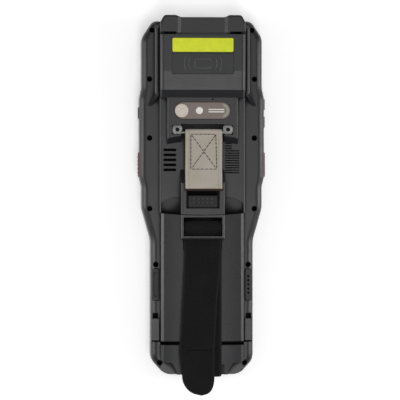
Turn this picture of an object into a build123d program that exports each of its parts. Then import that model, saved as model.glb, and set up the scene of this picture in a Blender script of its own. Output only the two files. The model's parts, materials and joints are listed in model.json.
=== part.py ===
"""Portable barcode data terminal, lying face down with its back up.

Millimetres. +Z points out of the back, +Y to the scanner head and +X to the right as the back is
seen. The origin is the middle of the flat front rim that the terminal rests on.
"""
import os
from math import atan, cos, degrees

from build123d import *

# ---------------------------------------------------------------- case, seen from the back
case_length = 208.0  # scanner bumps to the grip end
head_width = 70.0
belt_width = 72.5  # widest part, round the side keys
hip_width = 69.8
grip_width = 59.4
end_width = 43.6  # flat of the grip end
ear_drop = 2.8  # ear tops below the scanner bumps
ear_half = 28.6
ear_length = 9.7
belt_top_from_head = 47.5
belt_length = 46.0
belt_slope = 5.5
hip_length = 12.5
hip_taper = 18.5
end_corner = 8.8
outline_rounds = (5.0, 9.0, 9.0, 9.0, 9.0, 9.0, 14.0, 16.0, 8.0, 9.0)  # head end to grip end

# ---------------------------------------------------------------- case, levels above the rim
split_level = 13.0  # joint of the front and rear shells
flange_height = 9.0  # side flanges above the split
flange_round = 4.0
rim_round = 2.6
deck_level = 25.5
camera_level = 28.8
spine_level = 32.4
head_level = 32.5
crown_level = 29.4  # battery and grip end, at their middle
crown_edge = 25.4
crown_ridge = 1.6
cap_fall = 1.7  # of the crown, over the length of the grip end
wall = 2.2
seam = 0.3  # joint lines between housings
seat = 0.3  # clearance round a piece in its pocket
slip = 0.05  # radial play of a pin in its hole

# ---------------------------------------------------------------- scanner head
cap_length = 10.9
head_half = 24.7
head_block_length = 43.2
head_slope = 4.5
head_round = 2.4
bump_rise = 1.3
bump_inner = 12.6
bump_step = 2.9
bump_outer = 22.4
window_half = 13.2
window_low = 16.5
window_high = 27.5
window_lap = 1.0
window_thick = 1.3
engine_size = (20.0, 12.0)
engine_low = 17.5
engine_lens = (-4.0, 3.2, 2.0)  # distance from the middle, radius, length
engine_lamp = (5.0, 1.8, 1.0)
rail_inner = 25.0
rail_width = 2.5
rail_level = 27.0
rail_length = 49.5
rail_slope = 7.0
rail_flare = 4.2  # rail foot runs outwards

# ---------------------------------------------------------------- plates on the head
plate_width = 35.6  # both plates
label_length = 8.4
label_from_head = 17.4
label_thick = 0.5
reader_length = 11.8
reader_from_head = 28.1
reader_thick = 0.3
plate_corner = 1.2
plate_recess = 0.4
cap_dip = 1.3  # back of the cap between the bumps
seam_groove = (0.7, 0.8)  # width and depth of the groove along the cap
bump_groove = (1.3, 2.2)  # the same behind the bumps
head_fall = 0.8
head_fall_length = 11.0
antenna_band = 3.0
antenna_thick = 0.3
antenna_inset = 1.0

# ---------------------------------------------------------------- camera block and strap bar
deck_half = 24.9
camera_half = 20.5
camera_arc = 100.0
camera_slope = 3.5  # run of the arched lower edge
camera_block_length = 21.2
camera_from_head = 55.1
camera_window_size = (32.3, 9.8)
camera_window_thick = 1.0
lens_from_middle = 12.1
lens_radius = 3.9
flash_from_middle = 1.9
flash_radius = 2.1
lens_proud = 0.3
camera_depth = 9.0
camera_base = (9.0, 9.0, 2.0)
bar_from_head = 67.7
bar_radius = 0.9
bar_bite = 0.5
bar_lug_half = 14.6
bar_level = 28.2
paddle_size = (5.4, 5.0, 1.2)
paddle_corner = 1.6
paddle_shift = 1.6  # eyes and screws sit nearer the head than the bar
bar_slot_play = 2.7
bar_screw_head = 2.3
bar_screw_rise = 1.3
bar_screw_shank = 1.0
bar_screw_socket = 1.2
bar_screw_length = 6.0
mic_radius = 0.5
mic_place = (5.8, 48.4)

# ---------------------------------------------------------------- strap tab
tab_width = 22.1
tab_shift = 0.5
tab_layer = 1.1
tab_length = 34.2
tab_gap = 0.3
tab_slot_half = 12.4

# ---------------------------------------------------------------- speaker and ribs
speaker_x = -18.8
speaker_from_head = 83.5
slot_size = (7.4, 1.5)
slot_pitch = 2.88
slot_count = 5
speaker_size = (13.0, 18.0, 3.6)
speaker_shift = 0.8
rib_pitch = 1.41
rib_width = 0.75
rib_end_from_head = 90.9  # lowest rib
deep_ribs = (13.1, 17.2, 1.5, 14)  # inner and outer side, depth, count
shallow_ribs = (17.2, 21.4, 0.8, 10)

# ---------------------------------------------------------------- battery pack in its bay
bottom_cap_length = 17.4
cap_gap = 2.2
battery_length = 74.0
grip_shoulder = 5.7  # of the case, beside the battery
battery_half = grip_width / 2 - grip_shoulder
battery_floor = 15.0
bay_play = 0.3
bay_bow = 1.2  # the joint with the rear shell bows towards the grip
battery_foot = 2.0  # thickness of the ledge under the grip end's edge
terminal_size = (2.4, 5.0, 0.6)
terminal_pitch = 4.4
terminal_count = 4
terminal_from_top = 9.0
terminal_block = (20.0, 8.0, 1.5)

# ---------------------------------------------------------------- spine, latch and strap pin
spine_half = 12.7
spine_length = 25.0  # on the rear shell, with its ramp
spine_ramp = 8.0
spine_round = 1.2
latch_half = 8.6
latch_length = 7.3
latch_side_gap = 1.1
latch_well = 5.0  # depth of the hollow that the button is pushed over
latch_from_bay = 2.8
latch_travel = 3.0
latch_plate_half = 10.2
latch_plate_thick = 1.9
latch_low = 29.0
latch_sink = 0.5
latch_corner = 1.0
latch_bevel = 0.4
nose_bevel = 1.0
nose_half = 4.0
scoop_radius = 17.0
scoop_middle = (13.5, 7.9)  # of its round end: x, distance below the bay's top
scoop_half = 23.8
scoop_deep = 4.0  # at the bay
scoop_shallow = 0.3  # at the round end
spring_radius = 1.2
spring_wire = 0.4
spring_turns = 5
spring_x = 6.0
spring_length = 4.6
battery_spine_length = 14.9
strap_slot_half = 11.2
strap_slot_from_top = 2.3
strap_slot_length = 11.0
strap_slot_floor = 19.5
strap_pin_radius = 1.7
strap_pin_end = 1.0  # pin in the battery beside the slot
lip_thick = 1.0

# ---------------------------------------------------------------- hand strap and its clip
strap_half = 10.8
strap_thick = 1.4
strap_play = 0.1
strap_ramp = 5.0  # from the lip to where the webbing lies flat
strap_bend = 3.0
strap_dip = (1.1, 1.7, 1.6)  # where the webbing dives under the lip: place, depth, radius
free_end_sides = (-12.4, 7.2)  # where it leaves the grip end
free_end_narrow = (8.2, 9.0)  # right side after this length
free_end_tip = -0.2
free_end_reach = 11.4  # tip past the grip end
clip_bar_radius = 1.0
clip_bar_inset = 1.7
clip_bar_level = 26.4
clip_cheek = 1.2
clip_cheek_reach = 1.3  # cheek behind the bar's middle
tongue_thick = 2.1
tongue_inset = 2.0
tongue_low = 16.6
pocket_level = 23.5
pocket_length = 6.1

# ---------------------------------------------------------------- screws
screw_recess = 1.6
screw_head = 1.45
screw_head_high = 1.3
screw_shank = 0.9
screw_socket = 0.7
screw_seat = 0.8  # head seat above the split
screw_low = 6.4
head_screws = ((6.0, 8.2), (4.5, 36.6), (4.6, 70.8))  # from the head's side and from the head end
hip_screw = (4.5, 96.3)  # from the hip's side and from the grip end
grip_screws = ((2.9, 63.9), (5.1, 7.0))  # from the grip's side and from the grip end

# ---------------------------------------------------------------- grip sides and grip end
insert_size = (4.2, 18.6, 1.0)
insert_from_side = 2.7
insert_from_grip = 52.3
insert_proud = 0.3
insert_groove = (2.2, 14.0, 0.6)
contact_radius = 0.65
contact_pitch = 2.4
contact_count = 5
contact_shift = 0.2
pad_size = (4.2, 12.6, 0.7)
pad_from_grip = 26.3
pad_pocket = (3.2, 3.2, 4.5)
pad_slit = (1.0, 4.0)  # width and depth of the slit between the pad and the grip end
corner_cut = ((14.7, -2.2), (14.9, 2.1), (17.7, 7.0), (40.0, 7.9))  # x, distance from the grip end

# ---------------------------------------------------------------- side buttons
scan_button_size = (14.2, 7.2)
scan_button_from_head = 86.2
side_key_size = (6.6, 5.0)
volume_from_head = (51.2, 61.4)
power_from_head = 56.0
button_level = 13.0
button_proud = 0.7
button_travel = 0.6
button_flange = 0.9
flange_depth = 1.6  # button flange behind the side of the case
flange_thick = 1.0

# ---------------------------------------------------------------- front of the case
lens_size = (59.0, 88.0)
lens_from_head = 57.0
lens_sink = 0.4
lens_thick = 1.4
display_size = (54.0, 83.0, 3.2)
frame_thick = 1.2
board_lift = 2.1
board_thick = 1.2
board_margin = 2.0
boss_radius = 1.8
boss_inset = (5.0, 6.0)
radio_shield = (26.0, 22.0, 2.0, -6.0, -12.0)  # size, then its place from the board's middle
processor_shield = (18.0, 16.0, 1.6, 10.0, 26.0)
power_part = (8.0, 10.0, 1.2, 18.0, -1.0)
head_cavity_half = 27.4
grip_cavity_half = 24.2
cavity_from_head = 13.0
cavity_from_grip = 12.0
cavity_step_from_head = 110.4
shell_roof = 21.0  # inside of the roof over the boards
ear_slot = (12.0, 1.6)
gasket_lap = 0.4
gasket_width = 0.8
gasket_thick = 0.8

# ---------------------------------------------------------------- keypad
panel_level = 1.2  # key panel behind the front rim
panel_back = 3.1
key_sink = 0.4
key_travel = 0.6
key_lip = 0.7
key_lip_thick = 0.8
key_gap = 0.25
key_corner = 1.6
key_bevel = 0.45
key_pitch = (15.2, 15.0)
key_size = (12.4, 9.2)
scan_key_size = (15.4, 15.4)
side_pad_size = (11.6, 13.0)
side_pad_x = 16.4
key_columns = 3
first_row_from_grip = 22.5
scan_row_from_grip = 83.3
panel_half = 23.4
panel_margin = 5.0
mat_level = 5.1
mat_thick = 0.8
pad_board_thick = 1.2
pad_socket = (16.0, 12.0, 2.0)
pad_socket_from_end = 18.0

# ---------------------------------------------------------------- port at the grip end
port_size = (9.0, 3.2)
port_depth = 7.0
port_wall = 0.35
port_level = 7.0
port_inset = 1.6
port_tongue = 0.7
port_tongue_inset = 1.0
cover_size = (16.0, 7.6)
cover_thick = 1.4
cover_plug = 1.0
cover_gap = 0.3
hinge_radius = 0.8
hinge_pin = 0.35
hinge_ear = 1.0

# ---------------------------------------------------------------- places worked out from the sizes
head_end = case_length / 2
grip_end = -case_length / 2
body_end = head_end - ear_drop
belt_top = head_end - belt_top_from_head
belt_bottom = belt_top - belt_length
flange_level = split_level + flange_height
cap_seam = head_end - cap_length
head_foot = head_end - head_block_length
bay_end = grip_end + bottom_cap_length
battery_bottom = bay_end + cap_gap
battery_top = battery_bottom + battery_length
bay_top = battery_top + bay_play
camera_y = head_end - camera_from_head
camera_end = head_foot - head_slope - camera_block_length
bar_y = head_end - bar_from_head
eye_y = bar_y + paddle_shift
tab_wrap = bar_radius + strap_play + tab_layer
tab_reach = bar_y - tab_length
spine_top = bay_top + spine_length
latch_low_y = bay_top + latch_from_bay
latch_high_y = latch_low_y + latch_length
slot_top = battery_top - strap_slot_from_top
slot_bottom = slot_top - strap_slot_length
battery_spine_end = battery_top - battery_spine_length
strap_pin_y = (slot_top + slot_bottom) / 2
strap_path_radius = strap_pin_radius + strap_play + strap_thick / 2
strap_pin_level = spine_level - strap_thick - strap_pin_radius - strap_play - seat
lower_strap_level = crown_level + seat + strap_thick / 2
upper_strap_level = lower_strap_level + strap_thick + strap_play
clip_bar_y = grip_end + clip_bar_inset
tongue_y = grip_end + tongue_inset + tongue_thick / 2
insert_x = grip_width / 2 - insert_from_side
cavity_top = head_end - cavity_from_head
cavity_step = head_end - cavity_step_from_head
cavity_bottom = grip_end + cavity_from_grip
at_foot = (Align.CENTER, Align.CENTER, Align.MIN)
display_back = lens_sink + lens_thick + display_size[2]
board_level = display_back + frame_thick + board_lift


# ---------------------------------------------------------------- helpers
def block(x_span, y_span, z_span):
    """A plain block between two corners, each span given as (low, high)."""
    sizes = [high - low for low, high in (x_span, y_span, z_span)]
    middle = [(high + low) / 2 for low, high in (x_span, y_span, z_span)]
    return Pos(*middle) * Box(*sizes)


def plate(size, low, high, corner, place=(0.0, 0.0)):
    """A flat plate with rounded corners, lying between two levels."""
    return extrude(Pos(*place, low) * RectangleRounded(*size, corner), high - low)


def post(radius, low, high, place):
    """An upright cylinder between two levels."""
    return Pos(*place, (low + high) / 2) * Cylinder(radius, high - low)


def bar_across(radius, half, y, level):
    """A round bar along X, through the point (0, y, level)."""
    return Pos(0, y, level) * Rot(0, 90, 0) * Cylinder(radius, 2 * half)


def along_y(face, low, high):
    """A face drawn with its own Y as height, run from y = low to y = high."""
    return extrude(Pos(0, high, 0) * (Plane.XZ * face), high - low)


def across_x(face, low, high):
    """A face drawn as (y, z), run from x = low to x = high."""
    return extrude(Pos(low, 0, 0) * (Plane.YZ * face), high - low)


def polygon(*points):
    """A flat face with straight sides."""
    return make_face(Polyline(*points, close=True))


def mirrored(solid):
    """The same piece on the other side of the case."""
    return mirror(solid, about=Plane.YZ)


def pair(solid):
    """A piece and its mirror image."""
    return solid + mirrored(solid)


def top_edges(solid, along=None):
    """The edges of the highest flat face, or only those along one axis."""
    edges = solid.faces().sort_by(Axis.Z)[-1].edges()
    return edges.filter_by(along) if along else edges


def screw_places():
    """The middle of each case screw."""
    places = [(head_width / 2 - inset, head_end - drop) for inset, drop in head_screws]
    places.append((hip_width / 2 - hip_screw[0], grip_end + hip_screw[1]))
    places += [(grip_width / 2 - inset, grip_end + rise) for inset, rise in grip_screws]
    return [(side * x, y) for x, y in places for side in (-1, 1)]


# ---------------------------------------------------------------- outlines
def case_outline():
    """The silhouette of both shells: ears, head, belt, hips, grip and rounded grip end."""
    right = [
        (ear_half, body_end),
        (head_width / 2, body_end - ear_length),
        (head_width / 2, belt_top + belt_slope),
        (belt_width / 2, belt_top),
        (belt_width / 2, belt_bottom),
        (hip_width / 2, belt_bottom - belt_slope),
        (hip_width / 2, belt_bottom - belt_slope - hip_length),
        (grip_width / 2, belt_bottom - belt_slope - hip_length - hip_taper),
        (grip_width / 2, grip_end + end_corner),
        (end_width / 2, grip_end),
    ]
    left = [(-x, y) for x, y in reversed(right)]
    rounds = [*outline_rounds, *reversed(outline_rounds)]
    return make_face(FilletPolyline(*right, *left, radius=rounds, close=True))


def crown_face(half, low, edge, top):
    """Section of the grip's bulge: upright sides, a bevelled ridge and a shallow arched back."""
    inner = half - crown_ridge
    shoulder = edge + crown_ridge
    sides = Polyline(
        (-inner, shoulder), (-half, edge), (-half, low), (half, low), (half, edge), (inner, shoulder)
    )
    back = ThreePointArc((inner, shoulder), (0, top), (-inner, shoulder))
    return make_face(Curve() + [sides, back])


def cavity_face(margin=0.0):
    """The room for the boards: wide under the display, narrow in the grip."""
    head = block_face(head_cavity_half + margin, cavity_step - margin, cavity_top + margin)
    grip = block_face(grip_cavity_half + margin, cavity_bottom - margin, cavity_top + margin)
    return head + grip


def block_face(half, low, high):
    """A rectangle centred across the case."""
    return Pos(0, (low + high) / 2) * Rectangle(2 * half, high - low)


# ---------------------------------------------------------------- rear shell
def head_block():
    """Raised block over the scan engine, ending in a steep slope above the camera."""
    side = polygon(
        (cap_seam - seam, split_level + wall),
        (cap_seam - seam, head_level),
        (head_foot + head_fall_length, head_level),
        (head_foot, head_level - head_fall),
        (head_foot - head_slope, camera_level),
        (head_foot - head_slope, split_level + wall),
    )
    solid = across_x(side, -head_half, head_half)
    rims = solid.edges().filter_by(lambda edge: edge.center().Z > camera_level)
    rims = rims.filter_by(lambda edge: abs(edge.center().X) > head_half - seam)
    rims = rims.filter_by(lambda edge: edge.center().Y < cap_seam - 2 * seam)
    return fillet(rims, head_round)


def side_rail():
    """Guard rail beside the scanner head, its foot running out and down into the flange."""
    foot = body_end - rail_length
    side = polygon(
        (body_end - rail_width, split_level + wall),
        (body_end - rail_width, rail_level - rail_width),
        (body_end - 2 * rail_width, rail_level),
        (foot + rail_slope, rail_level),
        (foot + rail_slope, split_level + wall),
    )
    rail = across_x(side, rail_inner, rail_inner + rail_width)
    rail = fillet(top_edges(rail, Axis.Y), rail_width / 2 - slip)
    ends = [rail_end(foot + rail_slope, 0, rail_level), rail_end(foot, rail_flare, flange_level)]
    return rail + loft(ends)


def rail_end(y, shift, top):
    """Section of the rail's foot, at a place along the case."""
    low = split_level + wall
    face = Pos(rail_inner + rail_width / 2 + shift, (low + top) / 2) * Rectangle(rail_width, top - low)
    return Pos(0, y, 0) * (Plane.XZ * face)


def deck():
    """Raised middle of the back, from the head block to the battery."""
    face = block_face(deck_half, bay_top, head_foot - head_slope / 2)
    solid = extrude(Pos(0, 0, split_level + wall) * face, deck_level - split_level - wall)
    solid = fillet(top_edges(solid, Axis.Y), spine_round)
    bowed = (bay_top - bay_bow, bay_top)
    return solid + block((-battery_half, battery_half), bowed, (split_level + wall, deck_level))


def camera_block():
    """Step that carries the camera window and the strap bar, with an arched lower edge."""
    high = head_foot - head_slope / 2
    low = camera_end - 3 * camera_slope
    face = block_face(camera_half, low, high)
    solid = extrude(Pos(0, 0, deck_level - wall) * face, camera_level - deck_level + wall)
    solid = fillet(top_edges(solid, Axis.Y), spine_round)
    taper = camera_slope / (camera_level - deck_level)
    reach = camera_level - deck_level + wall
    arch = Cone(camera_arc - taper * reach, camera_arc + taper * wall, reach + wall, align=at_foot)
    return solid - Pos(0, camera_end - camera_arc, camera_level - reach) * arch


def shell_spine():
    """Spine that houses the battery latch, with a ramp under the strap tab."""
    side = polygon(
        (bay_top - bay_bow, split_level + wall),
        (bay_top - bay_bow, spine_level),
        (spine_top - spine_ramp, spine_level),
        (spine_top, deck_level),
        (spine_top, split_level + wall),
    )
    solid = across_x(side, -spine_half, spine_half)
    return fillet(top_edges(solid, Axis.Y), spine_round)


def bottom_cap():
    """Raised grip end with the section of the battery and cut-away screw corners."""
    near = crown_face(battery_half, split_level + wall, crown_edge, crown_level)
    far = crown_face(battery_half, split_level + wall, crown_edge - cap_fall, crown_level - cap_fall)
    crown = loft([Pos(0, y, 0) * (Plane.XZ * face) for y, face in ((bay_end, near), (grip_end, far))])
    outline = extrude(Pos(0, 0, split_level) * offset(case_outline(), -seam), head_level)
    places = [(x, grip_end + rise) for x, rise in corner_cut]
    corner = polygon(*places, (corner_cut[-1][0], grip_end + corner_cut[0][1]))
    corner = extrude(Pos(0, 0, flange_level) * corner, head_level - flange_level)
    return (crown & outline) - pair(corner)


def battery_bay():
    """The bay that the battery drops into, with room for its foot under the grip end's edge."""
    bay = block(
        (-battery_half - bay_play, battery_half + bay_play),
        (bay_end, bay_top),
        (battery_floor - bay_play, head_level + wall),
    )
    return bay - joint_bow(bay_top, battery_floor - bay_play)


def joint_bow(y, low):
    """Large round form that bows the joint of the rear shell and the battery towards the grip."""
    radius = (battery_half**2 + bay_bow**2) / (2 * bay_bow)
    return post(radius, low, head_level + wall, (0, y - bay_bow + radius))


def latch_room():
    """Hollow of the spine: the opening for the latch button, its slide way and the nose hole."""
    opening = block(
        (-latch_half - latch_side_gap, latch_half + latch_side_gap),
        (latch_low_y - seat, latch_high_y + latch_travel + seat),
        (latch_low, spine_level + wall),
    )
    way = block(
        (-latch_plate_half - seat, latch_plate_half + seat),
        (latch_low_y - latch_plate_thick - seat, latch_high_y + latch_travel + spring_wire + wall),
        (latch_low - seat, latch_low + latch_plate_thick + seat),
    )
    nose = block(
        (-nose_half - seat, nose_half + seat),
        (bay_top - bay_bow - wall, latch_low_y),
        (latch_low - seat, latch_low + latch_plate_thick + seat),
    )
    well = block(
        (-latch_half, latch_half),
        (latch_high_y, latch_high_y + latch_travel + seat),
        (latch_low - latch_well, latch_low),
    )
    return opening + way + nose + well


def strap_bar_pocket():
    """Shallow seats for the bar's flattened ends and a deep slot that the strap tab turns in."""
    seats = block(
        (-bar_lug_half - paddle_size[0] / 2 - seat, bar_lug_half + paddle_size[0] / 2 + seat),
        (eye_y - paddle_size[1] / 2 - seat, eye_y + paddle_size[1] / 2 + seat),
        (bar_level - paddle_size[2] / 2, head_level),
    )
    slot = block(
        (-tab_slot_half, tab_slot_half),
        (camera_end - 2 * slot_pitch, bar_y + tab_wrap + bar_slot_play),
        (bar_level - tab_wrap - seat, head_level),
    )
    low = bar_level - bar_screw_length - seat
    hole = post(bar_screw_shank + slip, low, bar_level, (bar_lug_half, eye_y))
    return seats + slot + pair(hole)


def button_pocket(size, side, y):
    """Window through the side wall, with a wider chamber behind it for the button's flange."""
    length, height = size
    wall_x = belt_width / 2
    window = block(
        (wall_x - flange_depth - wall, wall_x + wall),
        (y - length / 2 - seat, y + length / 2 + seat),
        (button_level - height / 2 - seat, button_level + height / 2 + seat),
    )
    grown = button_flange + seat
    chamber = block(
        (wall_x - flange_depth - flange_thick - button_travel - seat, wall_x - flange_depth + seat / 2),
        (y - length / 2 - grown, y + length / 2 + grown),
        (button_level - height / 2 - grown, button_level + height / 2 + grown),
    )
    pocket = window + chamber
    return pocket if side > 0 else mirrored(pocket)


def button_places():
    """Name, face size, side and middle of every button in the sides of the case."""
    places = [
        ("scan_button_right", scan_button_size, 1, head_end - scan_button_from_head),
        ("scan_button_left", scan_button_size, -1, head_end - scan_button_from_head),
        ("power_key", side_key_size, -1, head_end - power_from_head),
    ]
    for name, drop in zip(("volume_up_key", "volume_down_key"), volume_from_head):
        places.append((name, side_key_size, 1, head_end - drop))
    return places


def shell_cuts():
    """Everything taken out of the rear shell's outside and inside."""
    room = extrude(Pos(0, 0, split_level) * cavity_face(), shell_roof - split_level)
    room -= block((-grip_width, grip_width), (grip_end, bay_top + wall), (split_level, head_level))
    engine_room = block(
        (-head_half + wall + seam, head_half - wall - seam),
        (head_foot + wall / 2, cap_seam),
        (split_level, head_level - wall),
    )
    cap_room = block(
        (-head_half - seam, head_half + seam),
        (cap_seam - seam, head_end + wall),
        (split_level, head_level + wall),
    )
    cuts = room + engine_room + cap_room + battery_bay() + latch_room() + strap_bar_pocket()
    for name, size, side, y in button_places():
        cuts += button_pocket(size, side, y)
    for place in screw_places():
        cuts += post(screw_recess, split_level + screw_seat, head_level, place)
        cuts += post(screw_shank + slip, split_level, split_level + screw_seat, place)
    return cuts


def plate_recesses():
    """Shallow seats for the label and the card reader's plate."""
    recesses = []
    for length, drop in ((label_length, label_from_head), (reader_length, reader_from_head)):
        grown = (plate_width + seam, length + seam)
        recesses.append(
            plate(grown, head_level - plate_recess, head_level + wall, plate_corner, (0, head_end - drop))
        )
    return recesses[0] + recesses[1]


def camera_seat():
    """Seat of the camera window, and the holes under it."""
    seat_face = SlotOverall(camera_window_size[0] + seam, camera_window_size[1] + seam)
    cut = extrude(Pos(0, camera_y, camera_level - camera_window_thick) * seat_face, wall)
    cut += post(lens_radius + seat, shell_roof, camera_level, (-lens_from_middle, camera_y))
    cut += post(flash_radius + seat, shell_roof, camera_level, (-flash_from_middle, camera_y))
    return cut + post(mic_radius, shell_roof, camera_level, (mic_place[0], head_end - mic_place[1]))


def speaker_slots():
    """Row of sound slots through the deck."""
    slots = Part()
    for i in range(slot_count):
        y = head_end - speaker_from_head + (i - (slot_count - 1) / 2) * slot_pitch
        slots += plate(slot_size, shell_roof, deck_level, slot_size[1] / 3, (speaker_x, y))
    return slots


def deck_grooves():
    """Fine grip grooves on the other side of the strap tab, deeper beside it."""
    grooves = Part()
    for inner, outer, depth, count in (deep_ribs, shallow_ribs):
        for i in range(count):
            y = head_end - rib_end_from_head + i * rib_pitch
            low = y - (rib_pitch - rib_width) / 2
            high = y + (rib_pitch - rib_width) / 2
            grooves += block((inner, outer), (low, high), (deck_level - depth, deck_level + wall))
    return grooves


def finger_scoops():
    """Hollows beside the spine that deepen towards the battery, for lifting it by its top edge."""
    x, drop = scoop_middle
    low, high = bay_top - 2 * bay_bow, bay_top - drop + scoop_radius
    side = polygon(
        (low, deck_level - scoop_deep),
        (high, deck_level - scoop_shallow),
        (high, head_level),
        (low, head_level),
    )
    round_end = post(scoop_radius, split_level, head_level + wall, (x, bay_top - drop))
    return pair(across_x(side, spine_half - spine_round, scoop_half) & round_end)


def clip_pocket():
    """Pocket in the grip end for the strap's loop, and the slot that holds the clip's tongue."""
    half = strap_half + clip_cheek + 2 * seat
    pocket = block((-half, half), (grip_end - wall, grip_end + pocket_length), (pocket_level, head_level))
    slot = block(
        (-half, half),
        (tongue_y - tongue_thick / 2 - seat, tongue_y + tongue_thick / 2 + seat),
        (tongue_low - seat, pocket_level),
    )
    return pocket + slot


def grip_side_seats():
    """Seats of the grip inserts and the small pockets above the raised pads."""
    insert = plate(
        [length + seam for length in insert_size[:2]],
        flange_level + insert_proud - insert_size[2],
        head_level,
        plate_corner,
        (insert_x, grip_end + insert_from_grip),
    )
    y = grip_end + pad_from_grip + (pad_size[1] + pad_pocket[1]) / 2
    pocket = plate(pad_pocket[:2], flange_level - pad_pocket[2], head_level, seat, (insert_x, y))
    pad_low = grip_end + pad_from_grip - pad_size[1] / 2
    slit = block(
        (battery_half, insert_x + pad_size[0] / 2),
        (pad_low - pad_slit[0], pad_low),
        (flange_level - pad_slit[1], head_level),
    )
    return pair(insert + pocket + slit)


def grip_pads():
    """Raised pads on the flanges near the grip end."""
    low = flange_level - wall
    return pair(
        plate(pad_size[:2], low, flange_level + pad_size[2], seat, (insert_x, grip_end + pad_from_grip))
    )


def rear_shell():
    """Back of the case: flanges, head block, rails, deck, camera step, spine and grip end."""
    flange = extrude(Pos(0, 0, split_level) * case_outline(), flange_height)
    flange = fillet(top_edges(flange), flange_round)
    shell = flange + deck() - finger_scoops() - deck_grooves() + shell_spine()
    shell = shell + head_block() + pair(side_rail()) + camera_block() + bottom_cap()
    shell = shell - shell_cuts() - plate_recesses() - camera_seat() - speaker_slots() - clip_pocket()
    shell = shell + (grip_pads() - battery_bay()) - grip_side_seats()
    return shell - terminal_room() - gasket_groove(split_level, gasket_thick / 2)


def terminal_room():
    """Hole in the bay's floor that the terminal block sits in."""
    low = battery_floor - bay_play - terminal_block[2]
    return terminal_block_at(0, terminal_block, low, battery_floor + wall)


def terminal_y():
    """Middle of the battery terminals."""
    return battery_top - terminal_from_top


# ---------------------------------------------------------------- front shell
def key_places():
    """Name, face size and middle of every key on the front."""
    top_y = grip_end + scan_row_from_grip
    places = [
        ("scan_key", scan_key_size, (0.0, top_y)),
        ("menu_key", side_pad_size, (side_pad_x, top_y)),
        ("back_key", side_pad_size, (-side_pad_x, top_y)),
    ]
    names = ("star", "0", "hash", "7", "8", "9", "4", "5", "6", "1", "2", "3")
    for i, name in enumerate(names):
        row, column = divmod(i, key_columns)
        x = (1 - column) * key_pitch[0]
        y = grip_end + first_row_from_grip + row * key_pitch[1]
        places.append((f"key_{name}", key_size, (x, y)))
    return places


def port_cut():
    """Hole for the charging port in the grip end."""
    wide, high = port_size
    mouth = block(
        (-wide / 2, wide / 2),
        (grip_end - wall, grip_end + port_inset + port_depth),
        (port_level - high / 2, port_level + high / 2),
    )
    return mouth


def front_shell():
    """Front of the case: flat rim, pockets for lens and display, and the sunk key panel."""
    body = extrude(case_outline(), split_level)
    body = fillet(body.faces().sort_by(Axis.Z)[0].edges(), rim_round)
    lens_y = head_end - lens_from_head
    lens_pocket = [length + seam for length in lens_size]
    display_pocket = [length + seam for length in display_size[:2]]
    body -= plate(lens_pocket, -wall, lens_sink + lens_thick, plate_corner, (0, lens_y))
    body -= plate(display_pocket, 0, display_back, plate_corner, (0, lens_y))
    room = extrude(Pos(0, 0, display_back) * cavity_face(), split_level - display_back)
    room -= block((-grip_width, grip_width), (grip_end, cavity_step), (0, mat_level))
    top_y = grip_end + scan_row_from_grip + scan_key_size[1] / 2 + panel_margin
    low_y = grip_end + first_row_from_grip - key_size[1] / 2 - panel_margin
    panel_y = (top_y + low_y) / 2
    key_panel = plate((2 * panel_half, top_y - low_y), -wall, panel_level, key_corner, (0, panel_y))
    key_room = plate((2 * panel_half, top_y - low_y), panel_back, mat_level, key_corner, (0, panel_y))
    body = body - room - key_panel - key_room - port_cut() - gasket_groove(split_level, gasket_thick / 2)
    for name, size, place in key_places():
        hole = [length + 2 * key_gap for length in size]
        body -= plate(hole, 0, mat_level, key_corner, place)
    for name, size, side, y in button_places():
        body -= button_pocket(size, side, y)
    for place in screw_places():
        body -= post(screw_shank + slip, screw_low - seat, split_level, place)
    ear_y = lens_y + lens_size[1] / 2 + 2 * ear_slot[1]
    return body - plate(ear_slot, -wall, mat_level, ear_slot[1] / 3, (0, ear_y))


def gasket_groove(level, depth):
    """Ring cut round the boards' room, half in each shell."""
    outer = cavity_face(gasket_lap + gasket_width)
    inner = cavity_face(gasket_lap)
    return extrude(Pos(0, 0, level - depth) * (outer - inner), 2 * depth)


# ---------------------------------------------------------------- head, camera and plates
def head_cap():
    """Scanner cover with two guard bumps and the opening that the scanner reads through."""
    middle = head_end - bump_rise
    right = [
        (head_half, cap_seam),
        (head_half, head_end - head_slope),
        (bump_outer, head_end),
        (bump_inner + bump_step, head_end),
        (bump_inner, middle),
    ]
    left = [(-x, y) for x, y in reversed(right)]
    rounds = [0.0, head_round, head_round, head_round, head_round]
    face = make_face(FilletPolyline(*right, *left, radius=rounds + rounds[::-1], close=True))
    cap = extrude(Pos(0, 0, split_level) * face, head_level - split_level)
    rim = [edge for edge in top_edges(cap) if edge.center().Y > cap_seam + seam]
    cap = fillet(rim, head_round / 2)
    inside = block(
        (-head_half + wall + seam, head_half - wall - seam),
        (cap_seam - wall, middle - wall),
        (split_level, head_level - wall),
    )
    opening = block(
        (-window_half, window_half), (middle - 2 * wall, head_end + wall), (window_low, window_high)
    )
    dip = polygon(
        (-bump_inner - bump_step, head_level + cap_dip / 2),
        (-bump_inner, head_level - cap_dip),
        (bump_inner, head_level - cap_dip),
        (bump_inner + bump_step, head_level + cap_dip / 2),
    )
    groove = block(
        (-head_half, head_half),
        (cap_seam, cap_seam + seam_groove[0]),
        (head_level - seam_groove[1], head_level),
    )
    groove += pair(
        block(
            (bump_inner + bump_step, head_half),
            (cap_seam, cap_seam + bump_groove[0]),
            (head_level - bump_groove[1], head_level),
        )
    )
    return cap - inside - opening - along_y(dip, cap_seam + seam_groove[0], head_end + wall) - groove


def scan_window():
    """Clear plate behind the cap's opening."""
    inner = head_end - bump_rise - wall
    return block(
        (-window_half - window_lap, window_half + window_lap),
        (inner - window_thick, inner),
        (window_low - window_lap, window_high + window_lap),
    )


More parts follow.
